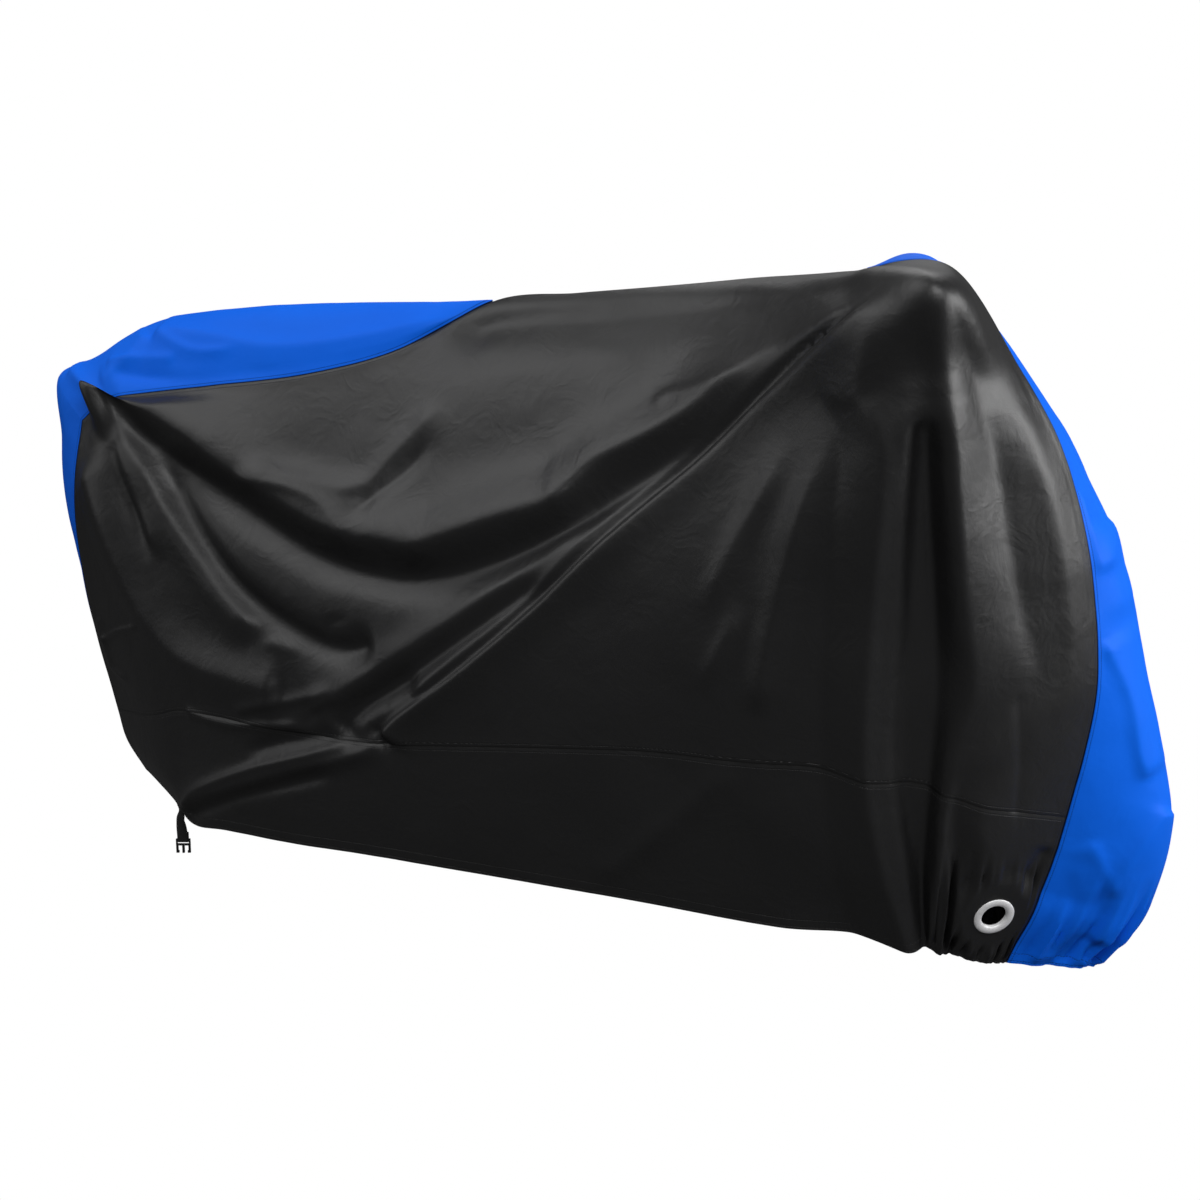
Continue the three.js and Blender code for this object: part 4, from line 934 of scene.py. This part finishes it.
def strap_sheet(name, side, bar, out, wide):
    """The webbing from the hem down to the bar, round it and a little way up behind."""
    beside = np.array([STRAP_U - 0.15, STRAP_U, STRAP_U + 0.15])
    place, n, _ = side_panel(beside, float(LAST_V), side)
    above, _, _ = side_panel(np.array([STRAP_U]), LAST_V - 0.05, side)
    down = unit(place[1] - above[0])
    hem_way = unit(place[0] - place[2])
    if hem_way @ wide < 0:
        hem_way = -hem_way
    start = place[1] - n[1] * CLOTH_THICK / 2 + down * 0.0006
    front = bar + out * LOOP[0][0] / 1000 + np.array(UP) * LOOP[0][1] / 1000
    hang = [start + (front - start) * k / HANG_STEPS for k in range(HANG_STEPS)]
    hang[1] = start + down * np.linalg.norm(front - start) / HANG_STEPS
    loop = [bar + out * h / 1000 + np.array(UP) * z / 1000 for h, z in LOOP]
    path = np.array(hang + loop)
    knots = carried_on(path)
    steps = [(i, t) for i in range(len(path) - 1) for t in CURVE_STEPS]
    fine = np.array([spline(*knots[i:i + 4], t) for i, t in steps] + [path[-1]])
    share = smooth(np.arange(len(fine)) / (len(CURVE_STEPS) * len(hang)))[:, None]
    across = unit(hem_way * (1 - share) + wide * share)
    facing = unit(np.cross(np.gradient(fine, axis=0), across))
    widths = np.linspace(-0.5, 0.5, STRAP_LINES) * STRAP_WIDTH
    p = fine[:, None] + across[:, None] * widths[None, :, None]
    p += facing[:, None] * STRAP_THICK / 2
    n = np.broadcast_to(facing[:, None], p.shape)
    none = np.full(p.shape[:2], NO_EDGE)
    return cloth_sheet(name, p, n, none, none, none * 0, STRAP_THICK)


def box(size, place):
    """A block in millimetres, [across, up, out] from the bar."""
    bpy.ops.object.select_all(action="DESELECT")
    bpy.ops.mesh.primitive_cube_add(size=0.001)
    made = bpy.context.object
    made.data.transform(Matrix.Translation(Vector(place) / 1000) @ Matrix.Diagonal((*size, 1)))
    return made


def slotted_plate():
    top, low = BAR / 2, -11
    plate = box((BUCKLE_WIDTH, top - low, BUCKLE_THICK), (0, (top + low) / 2, 0))
    combined(plate, box((SLOT_WIDTH, SLOT, 20), (0, -BAR / 2 - SLOT / 2, 0)), "DIFFERENCE")
    return plate


def prong_half():
    """The plate with a middle tongue, and a prong with a catch on each side."""
    edge = BUCKLE_WIDTH / 2
    half = slotted_plate()
    parts = [((4, 17, BUCKLE_THICK), (0, -17.2, 0))]
    for turn in (-1, 1):
        parts.append(((3.8, 14, BUCKLE_THICK - 0.6), (turn * (edge - 1.9), -17.5, 0)))
        parts.append(((5.4, 4.4, BUCKLE_THICK - 0.9), (turn * (edge - 2.7), -23.3, 0)))
    for size, place in parts:
        combined(half, box(size, place), "UNION")
    return half


def socket_half():
    """The plate with a hollow box that takes the prongs."""
    half = slotted_plate()
    combined(half, box((BUCKLE_WIDTH - 0.2, 24, 10), (0, -22, 0)), "UNION")
    combined(half, box((BUCKLE_WIDTH - 4, 20, 6.4), (0, -26, 0)), "DIFFERENCE")
    return half


# Columns: side, name, shape, and height of the bar over the middle of the piece in millimetres.
BUCKLES = (
    (NEAR, "buckle_prongs", prong_half, 12.625),
    (FAR, "buckle_socket", socket_half, 16.125),
)
for side, name, shape, drop in BUCKLES:
    word = SIDE_NAMES[side]
    low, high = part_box(f"buckle_{word}")
    bar = np.array((low + high) / 2) + (0, 0, drop / 1000)
    out = Vector((math.sin(STRAP_TURN), side * math.cos(STRAP_TURN), 0))
    wide = UP.cross(out)
    buckle = shape()
    buckle.name = name
    rounding = buckle.modifiers.new("rounding", "BEVEL")
    rounding.width = 0.0005
    rounding.segments = 3
    rounding.limit_method = "ANGLE"
    bpy.context.view_layer.objects.active = buckle
    bpy.ops.object.modifier_apply(modifier="rounding")
    turn = Matrix((wide, UP, out)).transposed().to_4x4()
    buckle.data.transform(Matrix.Translation(Vector(bar)) @ turn)
    buckle.select_set(True)
    bpy.ops.object.shade_smooth_by_angle(angle=math.radians(40))
    buckle.select_set(False)
    buckle.data.materials.append(plastic)
    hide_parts(f"buckle_{word}")
    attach(buckle, "root")

    strap = strap_sheet(f"strap_{word}_webbing", side, bar, np.array(out), np.array(wide))
    strap.data.materials.append(webbing)
    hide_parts(f"strap_{word}")
    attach(strap, "root")


# Floor and light
# A plain pale floor in a white room, and six large soft lights: over the rear, over the far side,
# from the left, from the right, from high on the right and from over the camera.
GROUND = -TOP_HEIGHT / 1000
bpy.ops.mesh.primitive_plane_add(size=60, location=(0, 0, GROUND))
floor = bpy.context.object
floor.name = "floor"


def seen_apart(tree, seen, lit, output):
    """Shows one shader to the camera, while the other takes and gives the light."""
    path = tree.nodes.new("ShaderNodeLightPath")
    choose = tree.nodes.new("ShaderNodeMixShader")
    tree.links.new(path.outputs["Is Camera Ray"], choose.inputs["Fac"])
    tree.links.new(lit.outputs[0], choose.inputs[1])
    tree.links.new(seen.outputs[0], choose.inputs[2])
    tree.links.new(choose.outputs["Shader"], tree.nodes[output].inputs["Surface"])


pale, tree, shader = material("pale_floor")
shader.inputs["Base Color"].default_value = (0.1, 0.1, 0.1, 1)
shader.inputs["Roughness"].default_value = 0.9
bright = tree.nodes.new("ShaderNodeEmission")
bright.inputs["Strength"].default_value = 1.0
seen_apart(tree, bright, shader, "Material Output")
floor.data.materials.append(pale)
floor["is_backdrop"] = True

# All lights point at the middle of the cover.
MIDDLE = Vector((-0.1, -0.1, -0.5))
# Columns: name, place in metres, size in metres, power in watts.
LIGHTS = (
    ("rear", (-1.9, -1.0, 2.2), 2.2, 30),
    ("far", (0, 1.6, 2.2), 2.0, 28),
    ("left", (-3.2, -1.2, 0.6), 1.8, 9),
    ("right", (3.0, 0.2, 0.3), 1.4, 46),
    ("high_right", (2.6, -2.2, 1.9), 1.4, 40),
    ("camera", (1.2, -3.2, 2.6), 1.6, 65),
)
for name, place, size, power in LIGHTS:
    bpy.ops.object.light_add(type="AREA", location=place)
    light = bpy.context.object
    light.name = f"{name}_light"
    light.data.size = size
    light.data.energy = power
    light.visible_camera = False
    light.rotation_euler = (MIDDLE - Vector(place)).to_track_quat("-Z", "Y").to_euler()

world = bpy.data.worlds.new("studio")
bpy.context.scene.world = world
world.use_nodes = True
room = world.node_tree.nodes["Background"]
backdrop = world.node_tree.nodes.new("ShaderNodeBackground")
for background, strength in ((room, 0.07), (backdrop, 1.0)):
    background.inputs["Color"].default_value = (1, 1, 1, 1)
    background.inputs["Strength"].default_value = strength
seen_apart(world.node_tree, backdrop, room, "World Output")
bpy.context.scene.view_settings.view_transform = "Standard"

low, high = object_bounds()
